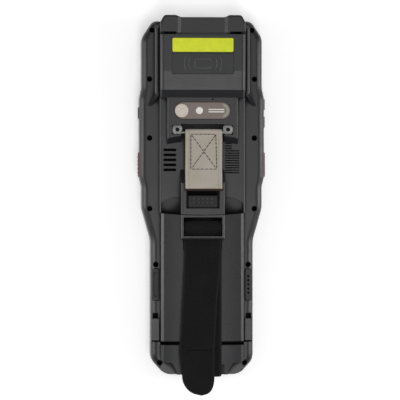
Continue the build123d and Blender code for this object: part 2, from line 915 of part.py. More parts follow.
def scan_engine():
    """Imager block under the head's roof, with its lens barrel towards the window."""
    top = head_level - wall - seat
    front = cap_seam - wall
    wide, deep = engine_size
    body = block((-wide / 2, wide / 2), (front - deep, front), (engine_low, top))
    body = chamfer(body.edges().filter_by(Axis.Y), seam)
    level = (window_low + window_high) / 2
    for x, radius, length in (engine_lens, engine_lamp):
        body += Pos(x, front + length / 2, level) * Rot(90, 0, 0) * Cylinder(radius, length)
    return body


def reader_antenna():
    """Flat loop on the inside of the head's roof, round the scan engine."""
    top = head_level - wall
    half_x = head_half - wall - antenna_inset
    low, high = head_foot + wall, cap_seam - wall / 2
    middle = (low + high) / 2
    outer = (2 * half_x, high - low)
    inner = [length - 2 * antenna_band for length in outer]
    ring = plate(outer, top - antenna_thick, top, antenna_band, (0, middle))
    return ring - plate(inner, top - wall, top + wall, plate_corner, (0, middle))


def camera_window():
    """Pill-shaped window with holes for the camera's cover and the flash."""
    low = camera_level - camera_window_thick
    pill = extrude(Pos(0, camera_y, low) * SlotOverall(*camera_window_size), camera_window_thick)
    pill = chamfer(top_edges(pill), lens_proud)
    high = camera_level + wall
    pill -= post(lens_radius + slip, low - wall, high, (-lens_from_middle, camera_y))
    return pill - post(flash_radius + slip, low - wall, high, (-flash_from_middle, camera_y))


def domed_disc(radius, low, place):
    """Disc whose rounded top stands a little out of the camera window."""
    disc = post(radius, low, camera_level + lens_proud, place)
    return fillet(top_edges(disc), lens_proud)


def camera_module():
    """Camera body under the lens cover."""
    x = -lens_from_middle
    low = camera_level - camera_depth
    top = camera_level - 2 * camera_window_thick - slip
    barrel = post(lens_radius - seam, low, top, (x, camera_y))
    reach = camera_base[2] / 2
    return barrel + plate(camera_base[:2], low - reach, low + reach, seat, (x, camera_y))


def strap_bar():
    """Steel bar with flattened ends under the bar screws."""
    bar = bar_across(bar_radius, bar_lug_half - paddle_size[0] / 2 + bar_bite, bar_y, bar_level)
    low = bar_level - paddle_size[2] / 2
    paddle = plate(paddle_size[:2], low, low + paddle_size[2], paddle_corner, (bar_lug_half, eye_y))
    paddle -= post(bar_screw_shank + slip, low - wall, low + wall, (bar_lug_half, eye_y))
    return bar + pair(paddle)


def bar_screws():
    """Two pan-head screws that hold the strap bar."""
    low = bar_level + paddle_size[2] / 2
    head = post(bar_screw_head, low, low + bar_screw_rise, (bar_lug_half, eye_y))
    head = fillet(top_edges(head), bar_screw_rise / 3)
    head -= post(bar_screw_socket, low + bar_screw_rise / 3, low + wall, (bar_lug_half, eye_y))
    shank = post(bar_screw_shank, low - bar_screw_length, low, (bar_lug_half, eye_y))
    return pair(head + shank)


def strap_tab():
    """Doubled webbing tab sewn round the strap bar, lying up the spine's ramp."""
    rise = spine_level + tab_gap - bar_level
    slope = atan(rise / (bar_y - spine_top + spine_ramp))
    length = tab_length / cos(slope)
    section = Circle(tab_wrap) + Pos(-length / 2, tab_wrap / 2) * Rectangle(length, tab_wrap)
    section = Rot(0, 0, -degrees(slope)) * section - Circle(bar_radius + strap_play)
    section = Pos(bar_y, bar_level) * section
    return across_x(section, tab_shift - tab_width / 2, tab_shift + tab_width / 2)


def case_screws():
    """Twelve screws that draw the rear shell onto the front shell."""
    screws = Part()
    base = split_level + screw_seat
    for place in screw_places():
        head = post(screw_head, base, base + screw_head_high, place)
        head -= extrude(Pos(*place, base + seat) * RegularPolygon(screw_socket, 6), screw_head_high)
        screws += head + post(screw_shank, screw_low, base, place)
    return screws


# ---------------------------------------------------------------- latch
def battery_latch():
    """Sliding latch: sunk thumb button on a plate whose nose runs to the edge of the bay."""
    top = spine_level - latch_sink
    button = block((-latch_half, latch_half), (latch_low_y, latch_high_y), (latch_low, top))
    button = fillet(button.edges().filter_by(Axis.Z), latch_corner)
    button = chamfer(top_edges(button), latch_bevel)
    body = block(
        (-latch_plate_half, latch_plate_half),
        (latch_low_y - latch_plate_thick, latch_high_y),
        (latch_low, latch_low + latch_plate_thick),
    )
    nose = block(
        (-nose_half, nose_half),
        (bay_top, latch_low_y),
        (latch_low, latch_low + latch_plate_thick),
    )
    latch = button + body + chamfer(nose.edges().group_by(Axis.Y)[0].sort_by(Axis.Z)[-1], nose_bevel)
    for x in (-spring_x, spring_x):
        latch -= block(
            (x - spring_radius - seat, x + spring_radius + seat),
            (latch_high_y - spring_length + latch_travel, latch_high_y + wall),
            (latch_low - wall, latch_low + latch_plate_thick + seam),
        )
    return latch


def latch_springs():
    """Two coil springs behind the latch, seated in the rear shell, drawn as they are when pressed."""
    springs = Part()
    high = latch_high_y + latch_travel + spring_wire + wall
    level = latch_low + latch_plate_thick / 2
    pitch = (high - latch_high_y - latch_travel) / spring_turns
    for x in (-spring_x, spring_x):
        for turn in range(spring_turns):
            ring = Torus(spring_radius - spring_wire, spring_wire)
            springs += Pos(x, high - slip - spring_wire - turn * pitch, level) * Rot(90, 0, 0) * ring
    return springs


# ---------------------------------------------------------------- battery and strap
def battery_pack():
    """Removable pack: arched back, its part of the spine, the strap slot and the lip over it."""
    section = crown_face(battery_half, battery_floor, crown_edge, crown_level)
    crown = along_y(section, battery_bottom, battery_top)
    foot = block(
        (-battery_half, battery_half),
        (bay_end + bay_play, battery_bottom),
        (battery_floor, battery_floor + battery_foot),
    )
    side = polygon(
        (battery_top, battery_floor),
        (battery_top, spine_level),
        (battery_spine_end + lip_thick, spine_level),
        (battery_spine_end, spine_level - lip_thick / 2),
        (battery_spine_end, battery_floor),
    )
    spine = across_x(side, -spine_half, spine_half)
    spine = fillet(top_edges(spine, Axis.Y), spine_round)
    slot = block(
        (-strap_slot_half, strap_slot_half),
        (slot_bottom, slot_top),
        (strap_slot_floor, spine_level + wall),
    )
    channel = block(
        (-strap_slot_half, strap_slot_half),
        (battery_spine_end - strap_ramp - lip_thick, slot_bottom),
        (strap_pin_level - strap_path_radius - strap_thick / 2 - seat, spine_level - lip_thick),
    )
    hole = bar_across(
        strap_pin_radius + slip, strap_slot_half + strap_pin_end, strap_pin_y, strap_pin_level
    )
    pack = crown + foot + spine - slot - channel - hole - joint_bow(battery_top, battery_floor)
    return pack - terminal_cuts(battery_floor - wall, battery_floor + terminal_size[2])


def terminal_cuts(low, high):
    """Row of small blocks at the battery terminals, between two levels."""
    cuts = Part()
    for i in range(terminal_count):
        x = (i - (terminal_count - 1) / 2) * terminal_pitch
        cuts += terminal_block_at(x, terminal_size, low, high)
    return cuts


def terminal_block_at(x, size, low, high):
    """A block of the given size in the row of the battery terminals."""
    half_x, half_y = size[0] / 2, size[1] / 2
    return block((x - half_x, x + half_x), (terminal_y() - half_y, terminal_y() + half_y), (low, high))


def battery_connector():
    """Terminal block in the bay's floor."""
    top = battery_floor - bay_play
    size = [length - 2 * slip for length in terminal_block[:2]]
    return terminal_block_at(0, size, top - terminal_block[2], top)


def strap_path():
    """Centre line of the webbing, from its sewn tail round the clip, up the battery, round the pin."""
    tail = grip_end + pocket_length - seat
    clip_turn = clip_bar_radius + strap_play + strap_thick / 2
    pin_low = strap_pin_level - strap_path_radius
    pin_high = strap_pin_level + strap_path_radius
    dip_level = spine_level - lip_thick - seat - strap_dip[1] - strap_thick / 2
    points = [
        (tail, clip_bar_level - clip_turn),
        (clip_bar_y - clip_turn, clip_bar_level - clip_turn),
        (clip_bar_y - clip_turn, lower_strap_level),
        (battery_spine_end - strap_ramp, lower_strap_level),
        (slot_bottom + lip_thick, pin_low),
        (strap_pin_y + strap_path_radius, pin_low),
        (strap_pin_y + strap_path_radius, pin_high),
        (strap_pin_y - strap_pin_radius, pin_high),
        (slot_bottom + strap_dip[0], dip_level),
        (battery_spine_end - strap_ramp, upper_strap_level),
        (battery_spine_end - 2 * strap_ramp, upper_strap_level),
    ]
    pin_turn = strap_path_radius - slip
    clip_turns = [clip_turn - slip] * 2
    turns = clip_turns + [strap_bend] * 2 + [pin_turn] * 2 + [strap_bend, strap_dip[2], strap_bend]
    return FilletPolyline(*points, radius=turns)


def hand_strap():
    """Black webbing: the loaded layer below and the slanting free end with its rounded tip above."""
    path = Plane.YZ * strap_path()
    start_plane = Plane(origin=path @ 0, x_dir=(1, 0, 0), z_dir=path % 0)
    layer = sweep(start_plane * Rectangle(2 * strap_half, strap_thick), path)
    start = battery_spine_end - 2 * strap_ramp
    left, right = free_end_sides
    sides = Polyline(
        (left, grip_end),
        (-strap_half, start),
        (strap_half, start),
        (free_end_narrow[0], start - free_end_narrow[1]),
        (right, grip_end),
    )
    end = (free_end_tip, grip_end - free_end_reach)
    tip = Spline((right, grip_end), end, (left, grip_end), tangents=[(0, -1), (0, 1)])
    low = upper_strap_level - strap_thick / 2
    free_end = extrude(Pos(0, 0, low) * make_face(Curve() + [sides, tip]), strap_thick)
    return layer + free_end


def strap_clip():
    """Clip that drops into the grip end from the back: tongue, two cheeks and the strap's bar."""
    half = strap_half + clip_cheek + seat
    tongue = block(
        (-half, half),
        (tongue_y - tongue_thick / 2, tongue_y + tongue_thick / 2),
        (tongue_low, pocket_level),
    )
    cheek = block(
        (strap_half + seat, half),
        (clip_bar_y - clip_cheek_reach, grip_end + pocket_length - seat),
        (pocket_level, clip_bar_level + clip_bar_radius),
    )
    bar = bar_across(clip_bar_radius, half - seat, clip_bar_y, clip_bar_level)
    return tongue + pair(cheek) + bar


# ---------------------------------------------------------------- buttons, keys and boards
def side_button(size, side, y):
    """Side button: a face that stands out of the wall and a flange that keeps it in."""
    length, height = size
    wall_x = belt_width / 2
    face = block(
        (wall_x - flange_depth - flange_thick, wall_x + button_proud),
        (y - length / 2, y + length / 2),
        (button_level - height / 2, button_level + height / 2),
    )
    face = chamfer(face.faces().sort_by(Axis.X)[-1].edges(), button_proud / 2)
    rim = block(
        (wall_x - flange_depth - flange_thick, wall_x - flange_depth - seat / 2),
        (y - length / 2 - button_flange, y + length / 2 + button_flange),
        (button_level - height / 2 - button_flange, button_level + height / 2 + button_flange),
    )
    button = face + rim
    return button if side > 0 else mirrored(button)


def front_key(size, place):
    """Key cap with a rounded rim, and the lip that keeps it behind the key panel."""
    cap = plate(size, key_sink, panel_back + seat + key_lip_thick, key_corner, place)
    cap = chamfer(cap.faces().sort_by(Axis.Z)[0].edges(), key_bevel)
    lip_size = [length + 2 * key_lip for length in size]
    low = panel_back + seat
    return cap + plate(lip_size, low, low + key_lip_thick, key_corner, place)


def keypad_mat():
    """Rubber mat behind the keys."""
    return grip_board(mat_level, mat_level + mat_thick)


def grip_board(low, high):
    """A flat sheet that fills the grip's part of the boards' room."""
    face = block_face(grip_cavity_half - seat, cavity_bottom + seat, cavity_step - seat)
    return extrude(Pos(0, 0, low) * face, high - low)


def keypad_board():
    """Circuit board under the mat, with its socket."""
    low = mat_level + mat_thick
    top = low + pad_board_thick
    place = (0, cavity_bottom + pad_socket_from_end)
    return grip_board(low, top) + plate(pad_socket[:2], low, top + pad_socket[2], seat, place)


def touch_lens():
    """Touch glass in front of the display."""
    lens_y = head_end - lens_from_head
    return plate(lens_size, lens_sink, lens_sink + lens_thick, plate_corner, (0, lens_y))


def display_module():
    """Display glued to the touch glass."""
    lens_y = head_end - lens_from_head
    low = lens_sink + lens_thick
    return plate(display_size[:2], low, display_back, plate_corner, (0, lens_y))


def inner_frame():
    """Metal frame on the back of the display, with the board's bosses."""
    face = block_face(head_cavity_half - seat, cavity_step + seat, cavity_top - seat)
    frame = extrude(Pos(0, 0, display_back) * face, frame_thick)
    base = display_back + frame_thick
    x = head_cavity_half - boss_inset[0]
    for y in (cavity_step + boss_inset[1], cavity_top - boss_inset[1]):
        frame += pair(post(boss_radius, base - seam, base + board_lift, (x, y)))
    return frame


def main_board():
    """Main circuit board with shield cans, on the frame's bosses."""
    half = head_cavity_half - board_margin
    face = block_face(half, cavity_step + board_margin, cavity_top - board_margin)
    board = extrude(Pos(0, 0, board_level) * face, board_thick)
    top = board_level + board_thick
    middle = (cavity_step + cavity_top) / 2
    for length, width, height, x, y in (radio_shield, processor_shield, power_part):
        board += plate((length, width), top, top + height, plate_corner, (x, middle + y))
    return board


def speaker():
    """Speaker against the inside of the deck, under its slots."""
    place = (speaker_x + speaker_shift, head_end - speaker_from_head)
    top = shell_roof - slip
    return plate(speaker_size[:2], top - speaker_size[2], top, plate_corner, place)


def charge_port():
    """Metal shell of the charging port with its tongue."""
    wide, high = port_size[0] - 2 * slip, port_size[1] - 2 * slip
    low, far = grip_end + port_inset, grip_end + port_inset + port_depth
    outer = block((-wide / 2, wide / 2), (low, far), (port_level - high / 2, port_level + high / 2))
    inner = block(
        (-wide / 2 + port_wall, wide / 2 - port_wall),
        (low - wall, far - port_wall),
        (port_level - high / 2 + port_wall, port_level + high / 2 - port_wall),
    )
    tongue = block(
        (-wide / 4, wide / 4),
        (low + port_tongue_inset, far - seam),
        (port_level - port_tongue / 2, port_level + port_tongue / 2),
    )
    return outer - inner + tongue


def cover_hinge_x():
    """Distance of the port cover's hinge from the middle of the case."""
    return cover_size[0] / 2 + hinge_radius


def port_cover():
    """Rubber cover over the port: plate, plug and hinge barrel."""
    high = cover_size[1]
    near = grip_end - cover_gap
    low, top = port_level - high / 2, port_level + high / 2
    face = block((-cover_hinge_x(), cover_size[0] / 2), (near - cover_thick, near), (low, top))
    face = fillet(face.faces().sort_by(Axis.Y)[0].edges().sort_by(Axis.X)[-1], seat)
    plug = block(
        (-port_size[0] / 2 + 2 * seat, port_size[0] / 2 - 2 * seat),
        (near, grip_end + cover_plug),
        (port_level - port_size[1] / 2 + seat, port_level + port_size[1] / 2 - seat),
    )
    y = near - cover_thick / 2
    barrel = post(hinge_radius, low, top, (-cover_hinge_x(), y))
    return face + plug + barrel - post(hinge_pin + slip, low - wall, top + wall, (-cover_hinge_x(), y))


def port_hinge():
    """Pin of the port cover, with its two ears on the grip end."""
    low, top = port_level - cover_size[1] / 2, port_level + cover_size[1] / 2
    y = grip_end - cover_gap - cover_thick / 2
    x = -cover_hinge_x()
    hinge = post(hinge_pin, low - seat - hinge_ear, top + seat + hinge_ear, (x, y))
    for start in (low - seat - hinge_ear, top + seat):
        hinge += block((x - hinge_radius, x + hinge_radius), (y, grip_end), (start, start + hinge_ear))
        hinge += post(hinge_radius, start, start + hinge_ear, (x, y))
    return hinge


def grip_insert(side):
    """Insert in the grip's flange."""
    low = flange_level + insert_proud - insert_size[2]
    place = (insert_x, grip_end + insert_from_grip)
    insert = plate(insert_size[:2], low, low + insert_size[2], plate_corner, place)
    insert = chamfer(top_edges(insert), insert_proud)
    if side > 0:
        for contact in contact_places():
            insert -= post(contact_radius + slip, low - wall, low + wall, contact)
        return insert
    groove_low = low + insert_size[2] - insert_groove[2]
    insert -= plate(insert_groove[:2], groove_low, low + wall, seat, place)
    return mirrored(insert)


def contact_places():
    """Middles of the accessory contacts in the right-hand insert."""
    y = grip_end + insert_from_grip
    middle = (contact_count - 1) / 2
    x = insert_x - contact_shift
    return [(x, y + (i - middle) * contact_pitch) for i in range(contact_count)]


def accessory_contacts():
    """Small round contacts for a cradle or a trigger grip."""
    low = flange_level + insert_proud - insert_size[2]
    contacts = Part()
    for place in contact_places():
        contacts += post(contact_radius, low, low + insert_size[2] - seam, place)
    return contacts


# ---------------------------------------------------------------- the parts
def all_parts():
    """Every piece by its name."""
    disc_low = camera_level - 2 * camera_window_thick
    label_y = head_end - label_from_head
    reader_y = head_end - reader_from_head
    label_low = head_level - plate_recess
    label_high = label_low + label_thick
    reader_high = label_low + reader_thick
    label_face = (plate_width, label_length)
    reader_face = (plate_width, reader_length)
    pin_half = strap_slot_half + strap_pin_end - slip
    terminal_low = battery_floor + seam / 3
    parts = {
        "front_shell": front_shell(),
        "rear_shell": rear_shell(),
        "case_gasket": gasket_groove(split_level, gasket_thick / 2 - slip),
        "case_screws": case_screws(),
        "head_cap": head_cap(),
        "scan_window": scan_window(),
        "scan_engine": scan_engine(),
        "label_plate": plate(label_face, label_low, label_high, plate_corner, (0, label_y)),
        "reader_plate": plate(reader_face, label_low, reader_high, plate_corner, (0, reader_y)),
        "reader_antenna": reader_antenna(),
        "camera_window": camera_window(),
        "camera_cover": domed_disc(lens_radius, disc_low, (-lens_from_middle, camera_y)),
        "flash_lens": domed_disc(flash_radius, disc_low, (-flash_from_middle, camera_y)),
        "camera_module": camera_module(),
        "speaker": speaker(),
        "strap_bar": strap_bar(),
        "bar_screws": bar_screws(),
        "strap_tab": strap_tab(),
        "battery_latch": battery_latch(),
        "latch_springs": latch_springs(),
        "battery_pack": battery_pack(),
        "battery_terminals": terminal_cuts(terminal_low, battery_floor + terminal_size[2]),
        "battery_connector": battery_connector(),
        "strap_pin": bar_across(strap_pin_radius, pin_half, strap_pin_y, strap_pin_level),
        "hand_strap": hand_strap(),
        "strap_clip": strap_clip(),
        "touch_lens": touch_lens(),
        "display_module": display_module(),
        "inner_frame": inner_frame(),
        "main_board": main_board(),
        "keypad_mat": keypad_mat(),
        "keypad_board": keypad_board(),
        "charge_port": charge_port(),
        "port_cover": port_cover(),
        "port_hinge": port_hinge(),
        "grip_insert_left": grip_insert(-1),
        "grip_insert_right": grip_insert(1),
        "accessory_contacts": accessory_contacts(),
    }
    for name, size, side, y in button_places():
        parts[name] = side_button(size, side, y)
    for name, size, place in key_places():
        parts[name] = front_key(size, place)
    return parts


os.makedirs("parts", exist_ok=True)
for node, solid in all_parts().items():
    export_step(solid, f"parts/{node}.step")
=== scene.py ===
"""Looks of the portable data terminal: materials, webbing, stitches, trim, lights and camera."""

import json
import math

import bpy
import numpy as np
from mathutils import Matrix, Vector


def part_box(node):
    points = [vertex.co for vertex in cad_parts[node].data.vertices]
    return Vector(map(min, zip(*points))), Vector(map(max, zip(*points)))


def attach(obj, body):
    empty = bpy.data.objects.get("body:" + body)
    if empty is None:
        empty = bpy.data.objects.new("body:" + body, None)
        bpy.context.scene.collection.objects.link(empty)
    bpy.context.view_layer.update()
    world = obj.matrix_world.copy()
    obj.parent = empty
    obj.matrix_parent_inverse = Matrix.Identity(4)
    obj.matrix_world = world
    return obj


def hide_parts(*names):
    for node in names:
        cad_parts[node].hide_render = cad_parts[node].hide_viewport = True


MM = 0.001
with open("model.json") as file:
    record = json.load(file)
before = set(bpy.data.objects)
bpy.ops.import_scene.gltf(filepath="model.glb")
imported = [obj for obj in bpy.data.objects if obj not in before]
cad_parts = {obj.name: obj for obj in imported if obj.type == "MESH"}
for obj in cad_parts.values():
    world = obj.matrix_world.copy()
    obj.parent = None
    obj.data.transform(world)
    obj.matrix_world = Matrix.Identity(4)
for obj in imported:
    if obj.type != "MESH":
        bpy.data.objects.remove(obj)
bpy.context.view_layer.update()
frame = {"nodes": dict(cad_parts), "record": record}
nodes = frame["nodes"]


# ---------------------------------------------------------------- camera, lights and floor
def make_camera():
    """Straight down on the back through a long lens, leaning a little to the left."""
    data = bpy.data.cameras.new("camera")
    data.sensor_width = 36.0
    distance = 1.62
    across = 0.2328
    data.lens = data.sensor_width * distance / across
    data.clip_start, data.clip_end = 0.05, 30.0
    camera = bpy.data.objects.new("camera", data)
    bpy.context.scene.collection.objects.link(camera)
    lean = math.radians(3.0)
    back = Vector((-math.sin(lean), 0.0, math.cos(lean)))
    target = Vector((-0.00087, -0.00274, 0.016))
    side = Vector((0.0, 1.0, 0.0)).cross(back).normalized()
    up = back.cross(side)
    turn = Matrix((side, up, back)).transposed().to_4x4()
    camera.matrix_world = Matrix.Translation(target + back * distance) @ turn
    bpy.context.scene.camera = camera


def area_light(name, size, place, target, power):
    """A softbox aimed at a point."""
    data = bpy.data.lights.new(name, "AREA")
    data.shape = "RECTANGLE"
    data.size, data.size_y = size
    data.energy = power
    lamp = bpy.data.objects.new(name, data)
    lamp.location = place
    aim = Vector(target) - Vector(place)
    lamp.rotation_mode = "QUATERNION"
    lamp.rotation_quaternion = aim.to_track_quat("-Z", "Y")
    lamp.visible_camera = False
    bpy.context.scene.collection.objects.link(lamp)


def sky_dome(horizon, zenith, low=0.84, high=0.985):
    """Surroundings that look white and shed more light from straight above than from the horizon.

    Their strength goes from horizon to zenith between the two heights of the direction.
    """
    world = bpy.data.worlds.new("studio")
    world.use_nodes = True
    tree = world.node_tree
    background = tree.nodes["Background"]
    background.inputs["Color"].default_value = (1.0, 1.0, 1.0, 1.0)
    direction = tree.nodes.new("ShaderNodeTexCoord")
    parts = tree.nodes.new("ShaderNodeSeparateXYZ")
    ramp = tree.nodes.new("ShaderNodeMapRange")
    limits = {"From Min": low, "From Max": high, "To Min": horizon, "To Max": zenith}
    for socket, value in limits.items():
        ramp.inputs[socket].default_value = value
    tree.links.new(direction.outputs["Generated"], parts.inputs["Vector"])
    tree.links.new(parts.outputs["Z"], ramp.inputs["Value"])
    path = tree.nodes.new("ShaderNodeLightPath")
    seen = tree.nodes.new("ShaderNodeMath")
    seen.operation = "MAXIMUM"
    tree.links.new(ramp.outputs["Result"], seen.inputs[0])
    tree.links.new(path.outputs["Is Camera Ray"], seen.inputs[1])
    tree.links.new(seen.outputs[0], background.inputs["Strength"])
    return world


def make_stage():
    """Pale floor, white surroundings and soft studio lights."""
    bpy.context.scene.world = sky_dome(horizon=0.24, zenith=1.05)
    bpy.context.scene.view_settings.view_transform = "Standard"
    area_light("overhead", (0.35, 0.8), (0.08, -0.60, 1.85), target=(0.0, 0.0, 0.0), power=8.5)
    for name, x, power in (("left_card", -1.1, 7.0), ("right_card", 1.1, 7.5)):
        area_light(name, (0.3, 1.4), (x, 0.0, 0.28), target=(0.0, 0.0, 0.02), power=power)
    half = 4.0
    corners = [(-half, -half, 0.0), (half, -half, 0.0), (half, half, 0.0), (-half, half, 0.0)]
    floor = new_piece("floor", corners, [(0, 1, 2, 3)], smooth=False)
    floor.data.materials.append(floor_look())


# ---------------------------------------------------------------- mesh helpers
def new_piece(name, points, faces, smooth=True):
    """A mesh object from points in metres."""
    mesh = bpy.data.meshes.new(name)
    mesh.from_pydata([tuple(p) for p in points], [], faces)
    mesh.validate()
    mesh.update()
    if smooth:
        mesh.shade_smooth()
    piece = bpy.data.objects.new(name, mesh)
    bpy.context.scene.collection.objects.link(piece)
    return piece


def sleeve(rings, ring):
    """Faces of a sleeve over some rings of points, and then one face at each of its ends."""
    faces = []
    for i in range(rings - 1):
        for k in range(ring):
            after = (k + 1) % ring
            this, above = i * ring, (i + 1) * ring
            faces.append((this + k, this + after, above + after, above + k))
    faces.append(tuple(reversed(range(ring))))
    faces.append(tuple((rings - 1) * ring + k for k in range(ring)))
    return faces


def rounded_box(half_x, half_y, corner, steps=6):
    """Outline of a rectangle with rounded corners about the origin."""
    outline = []
    for start, (sx, sy) in enumerate(((1, 1), (-1, 1), (-1, -1), (1, -1))):
        for k in range(steps):
            angle = math.pi / 2 * (start + k / (steps - 1))
            x = sx * (half_x - corner) + corner * math.cos(angle)
            y = sy * (half_y - corner) + corner * math.sin(angle)
            outline.append((x, y))
    return outline


class Heap:
    """Collects many small forms into one mesh."""

    def __init__(self):
        self.points = []
        self.faces = []

    def add(self, points, faces):
        """Adds a form with its own numbering."""
        base = len(self.points)
        self.points.extend(tuple(p) for p in points)
        self.faces.extend(tuple(base + i for i in face) for face in faces)

    def tube(self, line, radius, sides=8):
        """A round thread through the points, thinner at both ends."""
        line = [Vector(p) for p in line]
        end_share = 0.45
        rings = []
        for i, point in enumerate(line):
            ahead = line[min(i + 1, len(line) - 1)] - line[max(i - 1, 0)]
            ahead.normalize()
            across = ahead.cross(Vector((0.0, 0.0, 1.0)))
            if across.length < 0.1:
                across = ahead.cross(Vector((0.0, 1.0, 0.0)))
            across.normalize()
            over = across.cross(ahead)
            size = radius * (end_share if i in (0, len(line) - 1) else 1.0)
            for k in range(sides):
                turn = 2 * math.pi * k / sides
                rings.append(point + across * size * math.cos(turn) + over * size * math.sin(turn))
        self.add(rings, sleeve(len(line), sides))

    def pad(self, place, size, height, corner, up=1.0, turn=0.0):
        """A low raised form with rounded corners and a bevelled top."""
        outline = rounded_box(size[0] / 2, size[1] / 2, corner)
        bevel = min(height * 0.5, corner * 0.5)
        rings = [(0.0, 0.0), (height - bevel, 0.0), (height, bevel)]
        cos, sin = math.cos(turn), math.sin(turn)
        points = []
        for level, inset in rings:
            for x, y in outline:
                reach = math.hypot(x, y)
                x, y = x * (1 - inset / reach), y * (1 - inset / reach)
                x, y = x * cos - y * sin, x * sin + y * cos
                points.append((place[0] + x, place[1] + y, place[2] + up * level))
        faces = sleeve(len(rings), len(outline))
        del faces[-2]  # the foot stays open, sunk in the piece below
        self.add(points, faces if up > 0 else [face[::-1] for face in faces])

    def piece(self, name, smooth=True):
        """The collected forms as one object."""
        return new_piece(name, self.points, self.faces, smooth)


def rounded_line(corners, radii, step):
    """Stations along straight runs joined by arcs, at about the given spacing."""
    points = [np.array(p, float) for p in corners]
    line = [points[0]]
    for before, corner, after, radius in zip(points[:-2], points[1:-1], points[2:], radii):
        before, after = before - corner, after - corner
        before, after = before / np.linalg.norm(before), after / np.linalg.norm(after)
        opening = math.acos(max(-1.0, min(1.0, float(before @ after))))
        cut = radius / math.tan(opening / 2)
        start, end = corner + before * cut, corner + after * cut
        inwards = (before + after) / np.linalg.norm(before + after)
        middle = corner + inwards * (radius / math.sin(opening / 2))
        turns = max(3, int((math.pi - opening) * radius / step) + 1)
        first = math.atan2(*(start - middle)[::-1])
        sweep = math.atan2(*(end - middle)[::-1]) - first
        sweep = (sweep + math.pi) % (2 * math.pi) - math.pi
        for k in range(turns + 1):
            angle = first + sweep * k / turns
            line.append(middle + radius * np.array((math.cos(angle), math.sin(angle))))
    line.append(points[-1])
    even = [line[0]]
    for a, b in zip(line[:-1], line[1:]):
        length = np.linalg.norm(b - a)
        if length < 1e-9:
            continue
        count = max(1, int(round(length / step)))
        even.extend(a + (b - a) * (k + 1) / count for k in range(count))
    return even


def webbing(name, stations, edges, thick, columns, ripple):
    """Closed strip of webbing along (y, z) stations, between its two edges.

    Its lay is kept as an attribute: across, along, and distance from the nearer edge.
    """
    stations = [np.array(s, float) for s in stations]
    selvedge_thinning, selvedge_power = 0.55, 14
    points, lay = [], []
    run = 0.0
    for i, station in enumerate(stations):
        ahead = stations[min(i + 1, len(stations) - 1)] - stations[max(i - 1, 0)]
        ahead = ahead / np.linalg.norm(ahead)
        over = np.array((-ahead[1], ahead[0]))
        if i:
            run += float(np.linalg.norm(station - stations[i - 1]))
        left, right = edges(i, run)
        middle, half = (left + right) / 2, (right - left) / 2
        for side in (1, -1):
            for k in range(columns + 1):
                u = side * (2 * k / columns - 1)
                x = middle + u * half
                lift = side * thick / 2 * (1 - selvedge_thinning * abs(u) ** selvedge_power)
                y, z = station + over * (lift + ripple(x, run))
                points.append((x, y, z))
                lay.append((u * half, run, (1 - abs(u)) * half))
    piece = new_piece(name, points, sleeve(len(stations), 2 * (columns + 1)))
    attribute = piece.data.attributes.new("lay", "FLOAT_VECTOR", "POINT")
    attribute.data.foreach_set("vector", np.array(lay, np.float32).ravel())
    return piece


